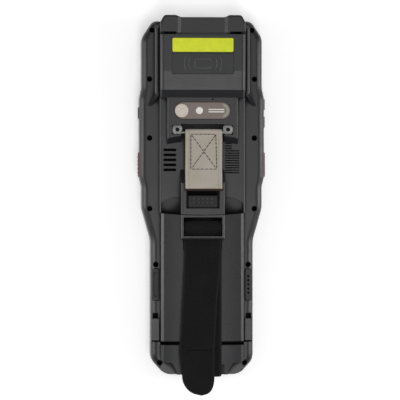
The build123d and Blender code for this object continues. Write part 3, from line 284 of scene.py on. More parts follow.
# ---------------------------------------------------------------- material helpers
class Look:
    """One procedural material in object coordinates, in metres."""

    def __init__(self, name, **sockets):
        self.material = bpy.data.materials.new(name)
        self.material.use_nodes = True
        self.tree = self.material.node_tree
        self.shader = self.tree.nodes["Principled BSDF"]
        for socket, value in sockets.items():
            self.feed(self.shader.inputs[socket.replace("_", " ")], value)
        coordinates = self.tree.nodes.new("ShaderNodeTexCoord")
        self.place = coordinates.outputs["Object"]
        self.heights = []

    def node(self, kind, **values):
        """A node with its inputs set or linked."""
        made = self.tree.nodes.new("ShaderNode" + kind)
        for key, value in values.items():
            self.feed(made.inputs[key.replace("_", " ")], value)
        return made

    def feed(self, socket, value):
        """Links an output, or sets a plain value."""
        if isinstance(value, bpy.types.NodeSocket):
            self.tree.links.new(value, socket)
        elif isinstance(value, tuple) and socket.type == "RGBA" and len(value) == 3:
            socket.default_value = (*value, 1.0)
        else:
            socket.default_value = value

    def lay(self):
        """Position on a strip of webbing: across, along and distance from the edge."""
        made = self.tree.nodes.new("ShaderNodeAttribute")
        made.attribute_name = "lay"
        return made.outputs["Vector"]

    def stretched(self, scale, source=None):
        """Coordinates stretched by a factor for each axis."""
        made = self.node("Mapping", Vector=source or self.place)
        made.inputs["Scale"].default_value = scale
        return made.outputs["Vector"]

    def noise(self, scale, detail=2.0, rough=0.5, source=None):
        """Soft noise; the scale is in features for each metre."""
        made = self.node("TexNoise", Vector=source or self.place, Scale=scale, Detail=detail,
                         Roughness=rough)
        return made.outputs["Fac"]

    def cells(self, scale, source=None, feature="F1"):
        """Distance to the nearest of many scattered points."""
        made = self.node("TexVoronoi", Vector=source or self.place, Scale=scale)
        made.feature = feature
        return made.outputs["Distance"]

    def spread(self, value, low, high, to_low=0.0, to_high=1.0):
        """Maps a range of values to another, held at its ends."""
        made = self.node("MapRange", Value=value, From_Min=low, From_Max=high, To_Min=to_low,
                         To_Max=to_high)
        return made.outputs["Result"]

    def calc(self, kind, a, b=None):
        """A math node."""
        made = self.tree.nodes.new("ShaderNodeMath")
        made.operation = kind
        self.feed(made.inputs[0], a)
        if b is not None:
            self.feed(made.inputs[1], b)
        return made.outputs[0]

    def times(self, a, b):
        """Product of two values."""
        return self.calc("MULTIPLY", a, b)

    def apart(self, a, b):
        """How far two values are from each other."""
        return self.calc("ABSOLUTE", self.calc("SUBTRACT", a, b))

    def diagonal(self, a, b):
        """Length of the diagonal over two sides."""
        return self.calc("SQRT", self.calc("ADD", self.times(a, a), self.times(b, b)))

    def waves(self, value, length):
        """Even waves of a length in metres."""
        return self.calc("SINE", self.times(value, 2 * math.pi / length))

    def axis(self, name, source=None):
        """One coordinate."""
        made = self.node("SeparateXYZ", Vector=source or self.place)
        return made.outputs[name]

    def mix(self, share, a, b):
        """Blend of two colours."""
        made = self.tree.nodes.new("ShaderNodeMix")
        made.data_type = "RGBA"
        first, second, result = 6, 7, 2  # the node's colour sockets
        self.feed(made.inputs[0], share)
        self.feed(made.inputs[first], a)
        self.feed(made.inputs[second], b)
        return made.outputs[result]

    def rounding(self, radius):
        """Normals as if the edges were rounded off by a radius."""
        made = self.node("Bevel", Radius=radius)
        made.samples = 4
        return made.outputs["Normal"]

    def edge(self, radius, low=0.75, high=0.985):
        """One on sharp edges and zero on flat faces."""
        soft = self.rounding(radius)
        flat = self.tree.nodes.new("ShaderNodeNewGeometry")
        dot = self.tree.nodes.new("ShaderNodeVectorMath")
        dot.operation = "DOT_PRODUCT"
        self.feed(dot.inputs[0], soft)
        self.feed(dot.inputs[1], flat.outputs["Normal"])
        return self.spread(dot.outputs["Value"], low, high, 1.0, 0.0)

    def crevice(self, reach):
        """Mask of painted shade: one deep in slots and corners within the reach, and zero on open
        faces.
        """
        shade = self.node("AmbientOcclusion", Distance=reach)
        shade.samples = 12
        return self.spread(shade.outputs["AO"], 0.42, 0.80, 1.0, 0.0)

    def bump(self, height, strength, distance):
        """Adds a relief; the distance is its depth in metres."""
        self.heights.append((height, strength, distance))

    def finish(self, color, rough, soften=None):
        """Connects colour, roughness and relief, with edges rounded off by a radius."""
        normal = self.rounding(soften) if soften else None
        for height, strength, distance in self.heights:
            made = self.node("Bump", Height=height, Strength=strength, Distance=distance)
            if normal:
                self.feed(made.inputs["Normal"], normal)
            normal = made.outputs["Normal"]
        self.feed(self.shader.inputs["Normal"], normal)
        self.feed(self.shader.inputs["Base Color"], color)
        self.feed(self.shader.inputs["Roughness"], rough)
        return self.material


# ---------------------------------------------------------------- materials
CASE_DARK, CASE_LIGHT = (0.0100, 0.0102, 0.0122), (0.0140, 0.0142, 0.0165)
# Lighter colours of edges and guard rail tops: part wear and part painted highlight.
CASE_WEAR_AND_HIGHLIGHT, TRIM_WEAR_AND_HIGHLIGHT = (0.055, 0.055, 0.060), (0.06, 0.06, 0.062)
# Near-black colour of the painted shade in slots, recesses and corners.
PAINTED_CREVICE_SHADE = (0.0015, 0.0015, 0.0017)


def grey(value):
    """A neutral colour."""
    return (value, value, value)


def scaled(color, factor):
    """A colour made lighter or darker."""
    return tuple(min(1.0, factor * c) for c in color)


def rail_tops(look):
    """Painted highlight mask: one along the tops of the two guard rails, fading to their sides
    and feet.
    """
    rail_middle = 0.02615
    off = look.apart(look.calc("ABSOLUTE", look.axis("X")), rail_middle)
    across = look.spread(off, 0.0002, 0.0014, 1.0, 0.0)
    strip = look.times(across, look.spread(look.axis("Z"), 0.0235, 0.0262))
    return look.times(strip, look.spread(look.axis("Y"), 0.044, 0.056))


def moulded(name, dark, light, rough=(0.28, 0.40), grain=2300.0, depth=0.00004, shine=0.45,
            worn=None, rails=False):
    """Moulded plastic with a fine spark-eroded grain, soft smudges, lighter edges that are part
    worn plastic and part painted highlight, and painted shade in its crevices, which are also
    rougher.
    With rails, a painted highlight lightens the tops of the guard rails as well."""
    look = Look(name, Specular_IOR_Level=shine)
    broad = look.noise(22.0, 3.0, 0.55)
    fine = look.noise(grain, 2.0, 0.6)
    handled = look.noise(160.0, 4.0, 0.6)
    color = look.mix(look.spread(broad, 0.3, 0.7), dark, light)
    color = look.mix(look.spread(fine, 0.62, 0.8, 0.0, 0.35), color, scaled(light, 1.9))
    # Lighter edges: part worn plastic and part painted highlight.
    if worn:
        wear_and_highlight_mask = look.times(look.edge(0.0005), look.spread(handled, 0.35, 0.7, 0.15, 0.75))
        # Painted highlight along the tops of the guard rails.
        if rails:
            tops = look.times(rail_tops(look), look.spread(handled, 0.35, 0.7, 0.7, 1.0))
            wear_and_highlight_mask = look.calc("MAXIMUM", wear_and_highlight_mask, tops)
        color = look.mix(wear_and_highlight_mask, color, worn)
    smudges = look.calc("ADD", look.times(handled, 0.5), look.times(fine, 0.5))
    roughness = look.spread(smudges, 0.3, 0.7, *rough)
    # Painted shade: slots, recesses and corners darken to near black, and are also made rougher.
    crevice = look.crevice(0.008)
    color = look.mix(look.times(crevice, 0.85), color, PAINTED_CREVICE_SHADE)
    roughness = look.calc("MAXIMUM", roughness, look.times(crevice, 0.95))
    look.bump(fine, 0.55, depth)
    look.bump(broad, 0.08, 0.0004)
    return look.finish(color, roughness, soften=0.00025)


def steel(name, color, spotted=None, rough=(0.22, 0.4), scale=(900.0, 120.0, 900.0), sockets=None):
    """Turned or brushed metal with fine lines, dull spots and, where asked for, painted shade
    in its sockets.
    """
    look = Look(name, Metallic=1.0)
    lines = look.noise(1.0, 3.0, 0.6, source=look.stretched(scale))
    spots = look.noise(420.0, 3.0, 0.6)
    shade = look.mix(look.spread(spots, 0.35, 0.75), color, spotted or scaled(color, 0.6))
    if sockets:
        # Painted shade: the sockets are coloured near black.
        shade = look.mix(sockets(look), shade, grey(0.006))
    look.bump(lines, 0.25, 0.00002)
    return look.finish(shade, look.spread(lines, 0.3, 0.7, *rough), soften=0.00015)


def bar_sockets(look):
    """Mask of painted shade: one in the sockets of the two screws at the ends of the strap bar."""
    low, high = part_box("bar_screws")
    middle = (low + high) / 2
    screw_x = high.x - (high.y - low.y) / 2
    across = look.calc("SUBTRACT", look.calc("ABSOLUTE", look.axis("X")), screw_x)
    along = look.calc("SUBTRACT", look.axis("Y"), middle.y)
    return look.spread(look.diagonal(across, along), 0.00115, 0.00135, 0.96, 0.0)


def glass_like(name, color, rough=(0.03, 0.12), tint=None):
    """Glossy window with faint smudges."""
    look = Look(name, Specular_IOR_Level=0.6, Coat_Weight=0.6, Coat_Roughness=0.04)
    smudge = look.noise(90.0, 4.0, 0.65)
    shade = look.mix(look.spread(smudge, 0.3, 0.75), color, tint or scaled(color, 1.25))
    look.bump(smudge, 0.03, 0.0001)
    return look.finish(shade, look.spread(smudge, 0.35, 0.7, *rough), soften=0.0001)


def floor_look():
    """Pale matt floor."""
    look = Look("floor_white", Specular_IOR_Level=0.2, Emission_Color=(1.0, 1.0, 1.0),
                Emission_Strength=0.35)
    mottle = look.noise(6.0, 3.0, 0.5)
    shade = look.mix(look.spread(mottle, 0.3, 0.7), grey(0.90), grey(0.94))
    look.bump(look.noise(300.0), 0.05, 0.0002)
    return look.finish(shade, look.spread(mottle, 0.3, 0.7, 0.75, 0.85))


def black_webbing_look():
    """Loop pile of a hook-and-loop strap, with a flat woven selvedge."""
    look = Look("black_webbing", Specular_IOR_Level=0.08, Sheen_Weight=0.06, Sheen_Roughness=0.45)
    lay = look.lay()
    pile = look.spread(look.axis("Z", lay), 0.0007, 0.0012)
    fuzz = look.noise(1.0, 4.0, 0.7, source=look.stretched((1500.0, 1100.0, 0.0), lay))
    loops = look.cells(1.0, source=look.stretched((1300.0, 900.0, 0.0), lay))
    ribs = look.waves(look.axis("Y", lay), 0.0011)
    patches = look.noise(70.0, 3.0, 0.6)
    dark, light = (0.0042, 0.0042, 0.0045), (0.0150, 0.0150, 0.0158)
    patch, selvedge = (0.0155, 0.0155, 0.0162), (0.0145, 0.0145, 0.0152)
    color = look.mix(look.spread(fuzz, 0.3, 0.75), dark, light)
    color = look.mix(look.spread(patches, 0.45, 0.75, 0.0, 0.45), color, patch)
    color = look.mix(pile, selvedge, color)
    height = look.calc("ADD", look.times(loops, 0.6), fuzz)
    look.bump(look.times(height, pile), 0.8, 0.00028)
    look.bump(look.times(ribs, look.calc("SUBTRACT", 1.0, pile)), 0.5, 0.00008)
    return look.finish(color, look.spread(fuzz, 0.3, 0.7, 0.75, 0.95))


def grey_webbing_look():
    """Beige-grey woven tape with a narrow selvedge and faint stains."""
    look = Look("grey_webbing", Specular_IOR_Level=0.2, Sheen_Weight=0.15, Sheen_Roughness=0.5)
    lay = look.lay()
    weft = look.waves(look.axis("Y", lay), 0.00105)
    warp = look.waves(look.axis("X", lay), 0.00095)
    weave = look.times(weft, warp)
    slubs = look.noise(1.0, 3.0, 0.6, source=look.stretched((1600.0, 260.0, 0.0), lay))
    stain = look.noise(75.0, 4.0, 0.6)
    fibre = look.noise(2600.0, 3.0, 0.7)
    clean, stained, shaded = (0.550, 0.488, 0.438), (0.470, 0.442, 0.338), (0.205, 0.185, 0.155)
    color = look.mix(look.spread(stain, 0.38, 0.66), clean, stained)
    color = look.mix(look.spread(weave, -0.6, 0.9, 0.45, 0.0), color, shaded)
    color = look.mix(look.spread(slubs, 0.5, 0.8, 0.0, 0.35), color, (0.50, 0.46, 0.42))
    selvedge = 0.0021
    groove = look.spread(look.apart(look.axis("Z", lay), selvedge), 0.0, 0.00035, 0.5, 0.0)
    color = look.mix(groove, color, (0.22, 0.20, 0.17))
    look.bump(look.calc("ADD", weave, look.times(slubs, 0.8)), 0.5, 0.00012)
    look.bump(groove, 0.5, -0.0002)
    look.bump(fibre, 0.3, 0.00006)
    return look.finish(color, look.spread(fibre, 0.3, 0.7, 0.72, 0.92))


def brown_backing_look():
    """Dark brown backing of the tab, with rough cut edges."""
    look = Look("brown_backing", Specular_IOR_Level=0.25)
    grain = look.noise(900.0, 4.0, 0.65)
    patches = look.noise(140.0, 2.0, 0.5)
    color = look.mix(look.spread(grain, 0.3, 0.7), (0.020, 0.0095, 0.006), (0.055, 0.028, 0.018))
    color = look.mix(look.spread(patches, 0.45, 0.7, 0.0, 0.4), color, (0.012, 0.009, 0.008))
    look.bump(grain, 0.6, 0.00012)
    return look.finish(color, look.spread(grain, 0.3, 0.7, 0.65, 0.9))


def thread_look(name, color):
    """Twisted sewing thread, and the matt ink of the signs."""
    look = Look(name, Specular_IOR_Level=0.1)
    twist = look.noise(1.0, 2.0, 0.5, source=look.stretched((5200.0, 5200.0, 5200.0)))
    shade = look.mix(look.spread(twist, 0.3, 0.7), color, scaled(color, 1.9))
    look.bump(twist, 0.6, 0.00005)
    return look.finish(shade, look.spread(twist, 0.3, 0.7, 0.5, 0.8))


def label_look():
    """Bare yellow-green label film with a thin dark printed border."""
    low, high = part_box("label_plate")
    middle, half = (low + high) / 2, (high - low) / 2
    corner, border_out, border_in = 0.001, 0.00022, 0.00036
    look = Look("label_yellow", Specular_IOR_Level=0.35)
    past = []
    for name, centre, side in (("X", middle.x, half.x), ("Y", middle.y, half.y)):
        from_centre = look.apart(look.axis(name), centre)
        past.append(look.calc("MAXIMUM", look.calc("SUBTRACT", from_centre, side - corner), 0.0))
    border = look.spread(look.diagonal(*past), corner - border_in, corner - border_out, 0.0, 0.85)
    rub = look.noise(260.0, 4.0, 0.65)
    ink = look.mix(look.spread(rub, 0.35, 0.7), (0.72, 0.78, 0.010), (0.62, 0.69, 0.02))
    ink = look.mix(border, ink, (0.09, 0.11, 0.01))
    look.bump(look.noise(1800.0), 0.2, 0.00002)
    return look.finish(ink, look.spread(rub, 0.3, 0.7, 0.35, 0.55), soften=0.0001)


def camera_glass_look():
    """Smoked warm window with a fine speckle and a pale curved sheen at its right end."""
    low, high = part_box("camera_window")
    middle = (low + high) / 2
    look = Look("camera_glass", Specular_IOR_Level=0.35, Coat_Weight=0.1, Coat_Roughness=0.25)
    speckle = look.noise(1900.0, 2.0, 0.7)
    broad = look.noise(110.0, 3.0, 0.5)
    dark, light, cloud = (0.150, 0.116, 0.098), (0.225, 0.180, 0.155), (0.17, 0.140, 0.132)
    color = look.mix(look.spread(speckle, 0.3, 0.7), dark, light)
    color = look.mix(look.spread(broad, 0.4, 0.7, 0.0, 0.5), color, cloud)
    radius = high.y - middle.y
    arc_inset = 0.0016
    from_x = look.calc("SUBTRACT", look.axis("X"), high.x - radius)
    from_y = look.calc("SUBTRACT", look.axis("Y"), middle.y)
    off = look.apart(look.diagonal(from_x, from_y), radius - arc_inset)
    arc = look.times(look.spread(off, 0.0002, 0.0009, 0.85, 0.0), look.spread(from_x, 0.0, 0.0012))
    color = look.mix(arc, color, (0.30, 0.34, 0.30))
    look.bump(speckle, 0.1, 0.00003)
    return look.finish(color, look.spread(broad, 0.3, 0.7, 0.32, 0.45), soften=0.00012)


def speckled(name, dark, light, scale, rough=(0.4, 0.6)):
    """Fine two-tone speckle, as on a film, a foam or a lens."""
    look = Look(name, Specular_IOR_Level=0.35)
    dots = look.cells(scale)
    cloud = look.noise(scale / 6, 3.0, 0.6)
    color = look.mix(look.spread(dots, 0.2, 0.7), light, dark)
    color = look.mix(look.spread(cloud, 0.4, 0.7, 0.0, 0.35), color, dark)
    look.bump(dots, 0.4, 0.00005)
    return look.finish(color, look.spread(cloud, 0.3, 0.7, *rough), soften=0.0001)


def board_look():
    """Green circuit board with faint tracks and pads."""
    look = Look("board_green", Specular_IOR_Level=0.5)
    tracks = look.cells(420.0, feature="DISTANCE_TO_EDGE")
    pads = look.cells(700.0)
    green, track, gold = (0.006, 0.045, 0.018), (0.012, 0.10, 0.04), (0.55, 0.42, 0.18)
    color = look.mix(look.spread(tracks, 0.02, 0.09, 0.8, 0.0), green, track)
    color = look.mix(look.spread(pads, 0.08, 0.12, 0.7, 0.0), color, gold)
    look.bump(tracks, 0.3, 0.00003)
    return look.finish(color, look.spread(pads, 0.1, 0.5, 0.3, 0.5))


def make_looks():
    """The material for each slot of the record."""
    return {
        # rails=True paints a highlight along the guard rail tops.
        "case": moulded("case_charcoal", CASE_DARK, CASE_LIGHT, worn=CASE_WEAR_AND_HIGHLIGHT, rails=True),
        "battery_case": moulded(
            "battery_charcoal", (0.0150, 0.0150, 0.0160), (0.0200, 0.0200, 0.0212),
            rough=(0.24, 0.34), grain=2900.0, depth=0.00003, worn=CASE_WEAR_AND_HIGHLIGHT),
        "latch_plastic": moulded(
            "latch_black", (0.0065, 0.0065, 0.0070), (0.0095, 0.0095, 0.0100),
            rough=(0.50, 0.62), shine=0.36, worn=TRIM_WEAR_AND_HIGHLIGHT),
        "dark_rubber": moulded(
            "dark_rubber", (0.008, 0.008, 0.0085), (0.0125, 0.0125, 0.013),
            rough=(0.68, 0.85), grain=1700.0, depth=0.00007, shine=0.3),
        "insert_plastic": moulded(
            "insert_black", (0.011, 0.011, 0.012), (0.017, 0.017, 0.018),
            rough=(0.4, 0.6), worn=TRIM_WEAR_AND_HIGHLIGHT),
        "engine_plastic": moulded(
            "engine_black", (0.006, 0.006, 0.007), (0.010, 0.010, 0.011)),
        "reader_panel": moulded(
            "reader_panel", (0.0185, 0.0190, 0.0200), (0.0225, 0.0230, 0.0240),
            rough=(0.46, 0.6), grain=3000.0, depth=0.00002),
        # Near-black screw steel, darkened further so that the deep screw recesses read as painted
        # shade.
        "screw_steel": steel("black_screw_steel", (0.010, 0.010, 0.011), rough=(0.5, 0.7)),
        "bar_steel": steel(
            "bar_steel", (0.30, 0.30, 0.29), (0.19, 0.19, 0.185), rough=(0.42, 0.58),
            sockets=bar_sockets),
        "steel": steel("bright_steel", (0.62, 0.61, 0.59)),
        "contact_metal": steel("gold_contacts", (0.75, 0.56, 0.25), rough=(0.18, 0.35)),
        "frame_metal": steel(
            "frame_metal", (0.42, 0.43, 0.44), rough=(0.35, 0.5), scale=(200.0, 900.0, 200.0)),
        "scan_glass": glass_like("scan_glass", (0.020, 0.003, 0.004), tint=(0.045, 0.006, 0.008)),
        "touch_glass": glass_like("touch_glass", (0.0022, 0.0024, 0.0028), rough=(0.02, 0.09)),
        "display": glass_like("display", (0.006, 0.007, 0.010), rough=(0.2, 0.3)),
        "label_yellow": label_look(),
        "camera_glass": camera_glass_look(),
        "camera_beige": speckled("camera_beige", (0.53, 0.47, 0.41), (0.76, 0.69, 0.62), 1700.0),
        "flash_white": speckled(
            "flash_white", (0.72, 0.68, 0.62), (0.95, 0.93, 0.90), 1300.0, rough=(0.2, 0.35)),
        "board": board_look(),
        "black_webbing": black_webbing_look(),
        "grey_webbing": grey_webbing_look(),
        "scan_red": moulded(
            "scan_red", (0.115, 0.016, 0.020), (0.17, 0.026, 0.030),
            rough=(0.45, 0.6), worn=(0.28, 0.10, 0.10)),
        "key_grey": moulded(
            "key_grey", (0.020, 0.0205, 0.022), (0.030, 0.0305, 0.032), rough=(0.45, 0.6)),
    }


# ---------------------------------------------------------------- dressing the CAD nodes
def dress_nodes(looks):
    """Gives every CAD node the look of its material slot."""
    slot_of = {entry["node"]: entry["material_slot"] for entry in frame["record"]["subparts"]}
    for name, node in nodes.items():
        node.data.materials.clear()
        node.data.materials.append(looks[slot_of[name]])


# ---------------------------------------------------------------- hand strap
STRAP_THICK = 1.4 * MM
STRAP_HALF = 10.8 * MM
FREE_LEVEL = 32.2  # mm, middle of the free end where it leaves the case


def wave(x, run, size):
    """Gentle unevenness of worn webbing."""
    return size * (math.sin(run * 95 + x * 140) + 0.6 * math.sin(run * 210 - x * 260 + 1.3)) / 1.6


def hand_strap(looks):
    """Loaded layer round the clip and the pin, and the slanting free end that is closed on it."""
    straight_end, tip = -104.0, -115.4
    corners = [  # (y, z) in mm: clip, battery, round the pin, back to the tip
        (-98.2, 24.6), (-104.1, 24.6), (-104.1, 30.4), (-30.3, 30.4), (-22.7, 26.4),
        (-15.7, 26.4), (-15.7, 31.4), (-19.9, 31.4), (-22.6, 28.4), (-30.3, 31.9),
        (-60.0, 32.05), (straight_end, FREE_LEVEL), (tip, 31.2),
    ]
    radii = [1.75, 1.75, 3.0, 3.0, 2.45, 2.45, 2.5, 1.4, 3.0, 60.0, 30.0]
    line = [p * MM for p in rounded_line(corners, radii, step=0.9)]
    free_from = -36.1 * MM
    free_start = len(line) - next(i for i, p in enumerate(reversed(line)) if p[0] > free_from)
    along = np.array((-104.0, -102.0, -94.0, -88.0, -83.0, -60.0, -36.0)) * MM
    left_side = np.array((-12.1, -12.6, -13.6, -13.8, -13.1, -11.9, -10.8)) * MM
    right_side = np.array((6.6, 6.6, 6.6, 6.7, 7.0, 8.3, 10.8)) * MM
    straight_y, tip_y = straight_end * MM, tip * MM
    tip_x = -0.8 * MM
    tip_limit = 0.9985  # so that the two edges don't meet in a point

    def edges(i, run):
        if i < free_start:
            return -STRAP_HALF, STRAP_HALF
        y = line[i][0]
        left, right = np.interp(y, along, left_side), np.interp(y, along, right_side)
        if y < straight_y:
            share = min(tip_limit, (straight_y - y) / (straight_y - tip_y))
            left = tip_x + (left - tip_x) * (1 - share ** 2.0) ** 0.5
            right = tip_x + (right - tip_x) * (1 - share ** 2.8) ** 0.45
        return left, right

    strap = webbing("strap_webbing", line, edges, STRAP_THICK, columns=36,
                    ripple=lambda x, run: wave(x, run, 0.07 * MM))
    strap.data.materials.append(looks["black_webbing"])
    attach(strap, "battery")
    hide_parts("hand_strap")
    return strap


def strap_stitches():
    """Cross seam where the free end's hook patch is sewn on."""
    heap = Heap()
    y, first, last, pitch = -89.3 * MM, -9.0 * MM, 5.6 * MM, 2.5 * MM
    top = FREE_LEVEL * MM + STRAP_THICK / 2 + 0.14 * MM
    profile = ((0.0, 0.2), (0.4, 0.0), (1.5, 0.0), (1.9, 0.2))  # mm along and mm sunk
    x = first
    while x < last:
        heap.tube([(x + ahead * MM, y, top - sunk * MM) for ahead, sunk in profile], 0.22 * MM)
        x += pitch
    piece = heap.piece("strap_stitches")
    piece.data.materials.append(thread_look("black_thread", grey(0.001)))
    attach(piece, "battery")
    return piece


# ---------------------------------------------------------------- strap tab
BAR = np.array((36.3, 28.2)) * MM
TAB_SLOPE = math.atan(4.5 / 29.4)
TAB_MIDDLE = 0.5 * MM
TAB_THICK = 1.0 * MM
TAB_LEVEL = 1.5  # mm, middle of the tape above the line through the bar


def tab_point(u, v):
    """A point of the tab in (y, z): u along it from the bar, v above the line through the bar."""
    out = np.array((-math.cos(TAB_SLOPE), math.sin(TAB_SLOPE)))
    over = np.array((math.sin(TAB_SLOPE), math.cos(TAB_SLOPE)))
    return BAR + out * u + over * v


def tab_rise(u):
    """Slow waves along the tape, in mm."""
    return 0.10 * math.sin(u / 5.0)


def strap_tab(looks):
    """Tape wrapped round the bar over its brown backing, sewn with a crossed box."""
    under = [tab_point(7.0 * MM, -0.6 * MM), tab_point(3.2 * MM, -0.85 * MM)]
    radius = TAB_LEVEL * MM
    wrap = [tab_point(radius * math.cos(a), radius * math.sin(a))
            for a in np.linspace(-math.pi / 2, -3 * math.pi / 2, 15)]
    top = [tab_point(u * MM, (TAB_LEVEL + tab_rise(u)) * MM) for u in np.arange(1.0, 32.6, 0.8)]
    line = [*under, *wrap, *top, tab_point(33.1 * MM, 1.48 * MM)]
    half = 10.6 * MM

    def edges(i, run):
        bow = 0.12 * MM * math.sin(run * 130)
        return TAB_MIDDLE - half + bow, TAB_MIDDLE + half + bow

    tape = webbing("tab_tape", line, edges, TAB_THICK, columns=26,
                   ripple=lambda x, run: wave(x, run, 0.035 * MM))
    tape.data.materials.append(looks["grey_webbing"])
    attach(tape, "tab")
    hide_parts("strap_tab")

    back_half, back_level, back_thick = 11.05 * MM, 0.46 * MM, 0.95 * MM
    stations = [tab_point(u * MM, back_level) for u in np.arange(3.0, 34.6, 0.8)]
    backing = webbing("tab_backing", stations,
                      lambda i, run: (TAB_MIDDLE - back_half, TAB_MIDDLE + back_half),
                      back_thick, columns=18, ripple=lambda x, run: wave(x, run, 0.03 * MM))
    backing.data.materials.append(brown_backing_look())
    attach(backing, "tab")
    return tape, backing, tab_stitches()


def tab_stitches():
    """Crossed box of lockstitches sunk a little in the tape."""
    heap = Heap()
    surface = TAB_LEVEL * MM + TAB_THICK / 2
    pitch, length, shortest = 2.2, 1.95, 0.5
    profile = ((0.0, -0.16), (0.14, 0.05), (0.5, 0.10), (0.86, 0.05), (1.0, -0.16))

    def seam(start, end):
        start, end = np.array(start), np.array(end)
        whole = float(np.linalg.norm(end - start))
        count = max(1, int(whole / pitch))
        for i in range(count + 1):
            first = i * whole / count
            last = min(first + length, whole)
            if last - first < shortest:
                continue
            points = []
            for share, lift in profile:
                x, u = start + (end - start) * (first + (last - first) * share) / whole
                y, z = tab_point(u * MM, surface + (lift + tab_rise(u)) * MM)
                points.append((x * MM, y, z))
            heap.tube(points, 0.2 * MM)

    near, far = 1.4, 21.8
    left, right = -6.9, 7.9
    seam((left, near), (right - 0.6, near))
    seam((right - 0.4, near), (right, far))
    seam((right, far), (left, far))
    seam((left - 0.2, far), (left, near))
    seam((left + 0.5, near + 0.6), (right - 0.5, far - 0.6))
    seam((right - 0.6, near + 0.6), (left + 0.5, far - 0.6))
    piece = heap.piece("tab_stitches")
    piece.data.materials.append(thread_look("brown_thread", (0.011, 0.009, 0.006)))
    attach(piece, "tab")
    return piece


# ---------------------------------------------------------------- small trim on the back
SUNK = 0.02 * MM  # of small trim, in the face below it


def latch_pips():
    """Two rows of raised grip pips on the thumb button."""
    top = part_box("battery_latch")[1].z - 0.05 * MM
    heap = Heap()
    rows, columns, pitch, turn = (-4.35, -1.95), 5, 2.55, math.radians(18)
    size, height, corner = (1.55 * MM, 0.75 * MM), 0.4 * MM, 0.3 * MM
    for row, y in enumerate(rows):
        for i in range(columns):
            place = ((i - 2) * pitch * MM, y * MM, top)
            heap.pad(place, size, height, corner, turn=turn if (i + row) % 2 else -turn)
    piece = heap.piece("latch_pips", smooth=False)
    piece.data.materials.append(
        moulded("latch_pips", (0.022, 0.022, 0.023), (0.030, 0.030, 0.031)))
    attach(piece, "latch")


def camera_bars(looks):
    """Two pale printed bars on the camera window."""
    low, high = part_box("camera_window")
    middle = (low.y + high.y) / 2
    heap = Heap()
    size, height, corner = (9.2 * MM, 0.62 * MM), 0.07 * MM, 0.2 * MM
    for y in (0.62, -0.72):
        heap.pad((8.0 * MM, middle + y * MM, high.z - SUNK), size, height, corner)
    piece = heap.piece("camera_bars", smooth=False)
    piece.data.materials.append(looks["flash_white"])
    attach(piece, "case")


def reader_mark():
    """Faint raised frame that shows where a card is held, with two arcs on each side."""
    low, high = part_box("reader_plate")
    middle = (low + high) / 2
    top = high.z - SUNK
    heap = Heap()
    card = rounded_box(4.6 * MM, 2.6 * MM, 1.0 * MM)
    loop = [(middle.x + x, middle.y + y, top) for x, y in card]
    heap.tube([*loop, loop[0]], 0.16 * MM, sides=6)
    radius, opening, parts = 6.0, math.radians(36), 8
    for side in (-1, 1):
        for reach, half_height in ((8.1, 3.6), (10.7, 4.6)):
            arc = []
            for k in range(parts + 1):
                angle = opening * (2 * k / parts - 1)
                x = side * (reach - radius + radius * math.cos(angle)) * MM
                y = half_height * math.sin(angle) / math.sin(opening) * MM
                arc.append((middle.x + x, middle.y + y, top))
            heap.tube(arc, 0.15 * MM, sides=6)
    piece = heap.piece("reader_mark")
    piece.data.materials.append(
        moulded("reader_mark", (0.090, 0.090, 0.094), (0.125, 0.125, 0.130)))
    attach(piece, "case")


def button_ribs(looks):
    """Grip ribs on the two scan buttons."""
    count, pitch, radius = 5, 2.3 * MM, 0.28 * MM
    profile = ((0.0, 10.9), (0.1, 11.5), (0.1, 14.5), (0.0, 15.1))  # mm out and mm up
    for name in ("scan_button_right", "scan_button_left"):
        low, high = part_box(name)
        side = 1 if high.x > 0 else -1
        face = (high.x if side > 0 else low.x) - side * SUNK
        middle = (low.y + high.y) / 2
        heap = Heap()
        for i in range(count):
            y = middle + (i - (count - 1) / 2) * pitch
            heap.tube([(face + side * out * MM, y, up * MM) for out, up in profile], radius)
        piece = heap.piece(name + "_ribs")
        piece.data.materials.append(looks["scan_red"])
        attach(piece, name + "_body")


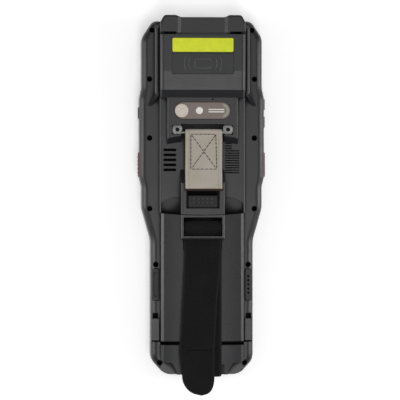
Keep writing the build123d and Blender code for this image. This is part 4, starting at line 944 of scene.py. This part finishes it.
# ---------------------------------------------------------------- signs on the front keys
def legend(name, text, size, place, body, look):
    """Printed sign on a key of the front, readable from the front."""
    curve = bpy.data.curves.new(name + "_text", "FONT")
    curve.body = text
    curve.align_x = "CENTER"
    curve.align_y = "CENTER"
    curve.size = size
    curve.extrude = 0.03 * MM
    curve.offset = size * 0.008
    maker = bpy.data.objects.new(name + "_maker", curve)
    bpy.context.scene.collection.objects.link(maker)
    bpy.context.view_layer.update()
    graph = bpy.context.evaluated_depsgraph_get()
    mesh = bpy.data.meshes.new_from_object(maker.evaluated_get(graph))
    bpy.data.objects.remove(maker)
    mesh.transform(Matrix.Translation(Vector(place)) @ Matrix.Rotation(math.pi, 4, "Y"))
    piece = bpy.data.objects.new(name, mesh)
    bpy.context.scene.collection.objects.link(piece)
    mesh.materials.clear()
    mesh.materials.append(look)
    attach(piece, body)


def front_legends():
    """Digits and plain signs on the front keys."""
    ink = thread_look("legend_ink", grey(0.42))
    signs = {"key_star": "*", "key_hash": "#", "menu_key": "=", "back_key": "<"}
    signs.update({f"key_{digit}": str(digit) for digit in range(10)})
    for node, text in signs.items():
        low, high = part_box(node)
        middle = (low + high) / 2
        size = 6.2 * MM if node.startswith("key_") else 7.0 * MM
        place = (middle.x, middle.y, low.z - 0.01 * MM)
        legend(node + "_sign", text, size, place, node + "_body", ink)
    low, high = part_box("scan_key")
    middle = (low + high) / 2
    heap = Heap()
    bars, pitch, length = 5, 1.5 * MM, 6.0 * MM
    narrow, added = 0.5, 0.35
    for i in range(bars):
        place = (middle.x + (i - (bars - 1) / 2) * pitch, middle.y, low.z + SUNK)
        width = (narrow + added * (i % 2)) * MM
        heap.pad(place, (width, length), 0.06 * MM, 0.1 * MM, up=-1.0)
    piece = heap.piece("scan_key_sign", smooth=False)
    piece.data.materials.append(ink)
    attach(piece, "scan_key_body")


# ---------------------------------------------------------------- the scene
make_camera()
make_stage()
looks = make_looks()
dress_nodes(looks)
strap = hand_strap(looks)
seam_piece = strap_stitches()
tape, backing, crossed = strap_tab(looks)
latch_pips()
camera_bars(looks)
reader_mark()
button_ribs(looks)
front_legends()
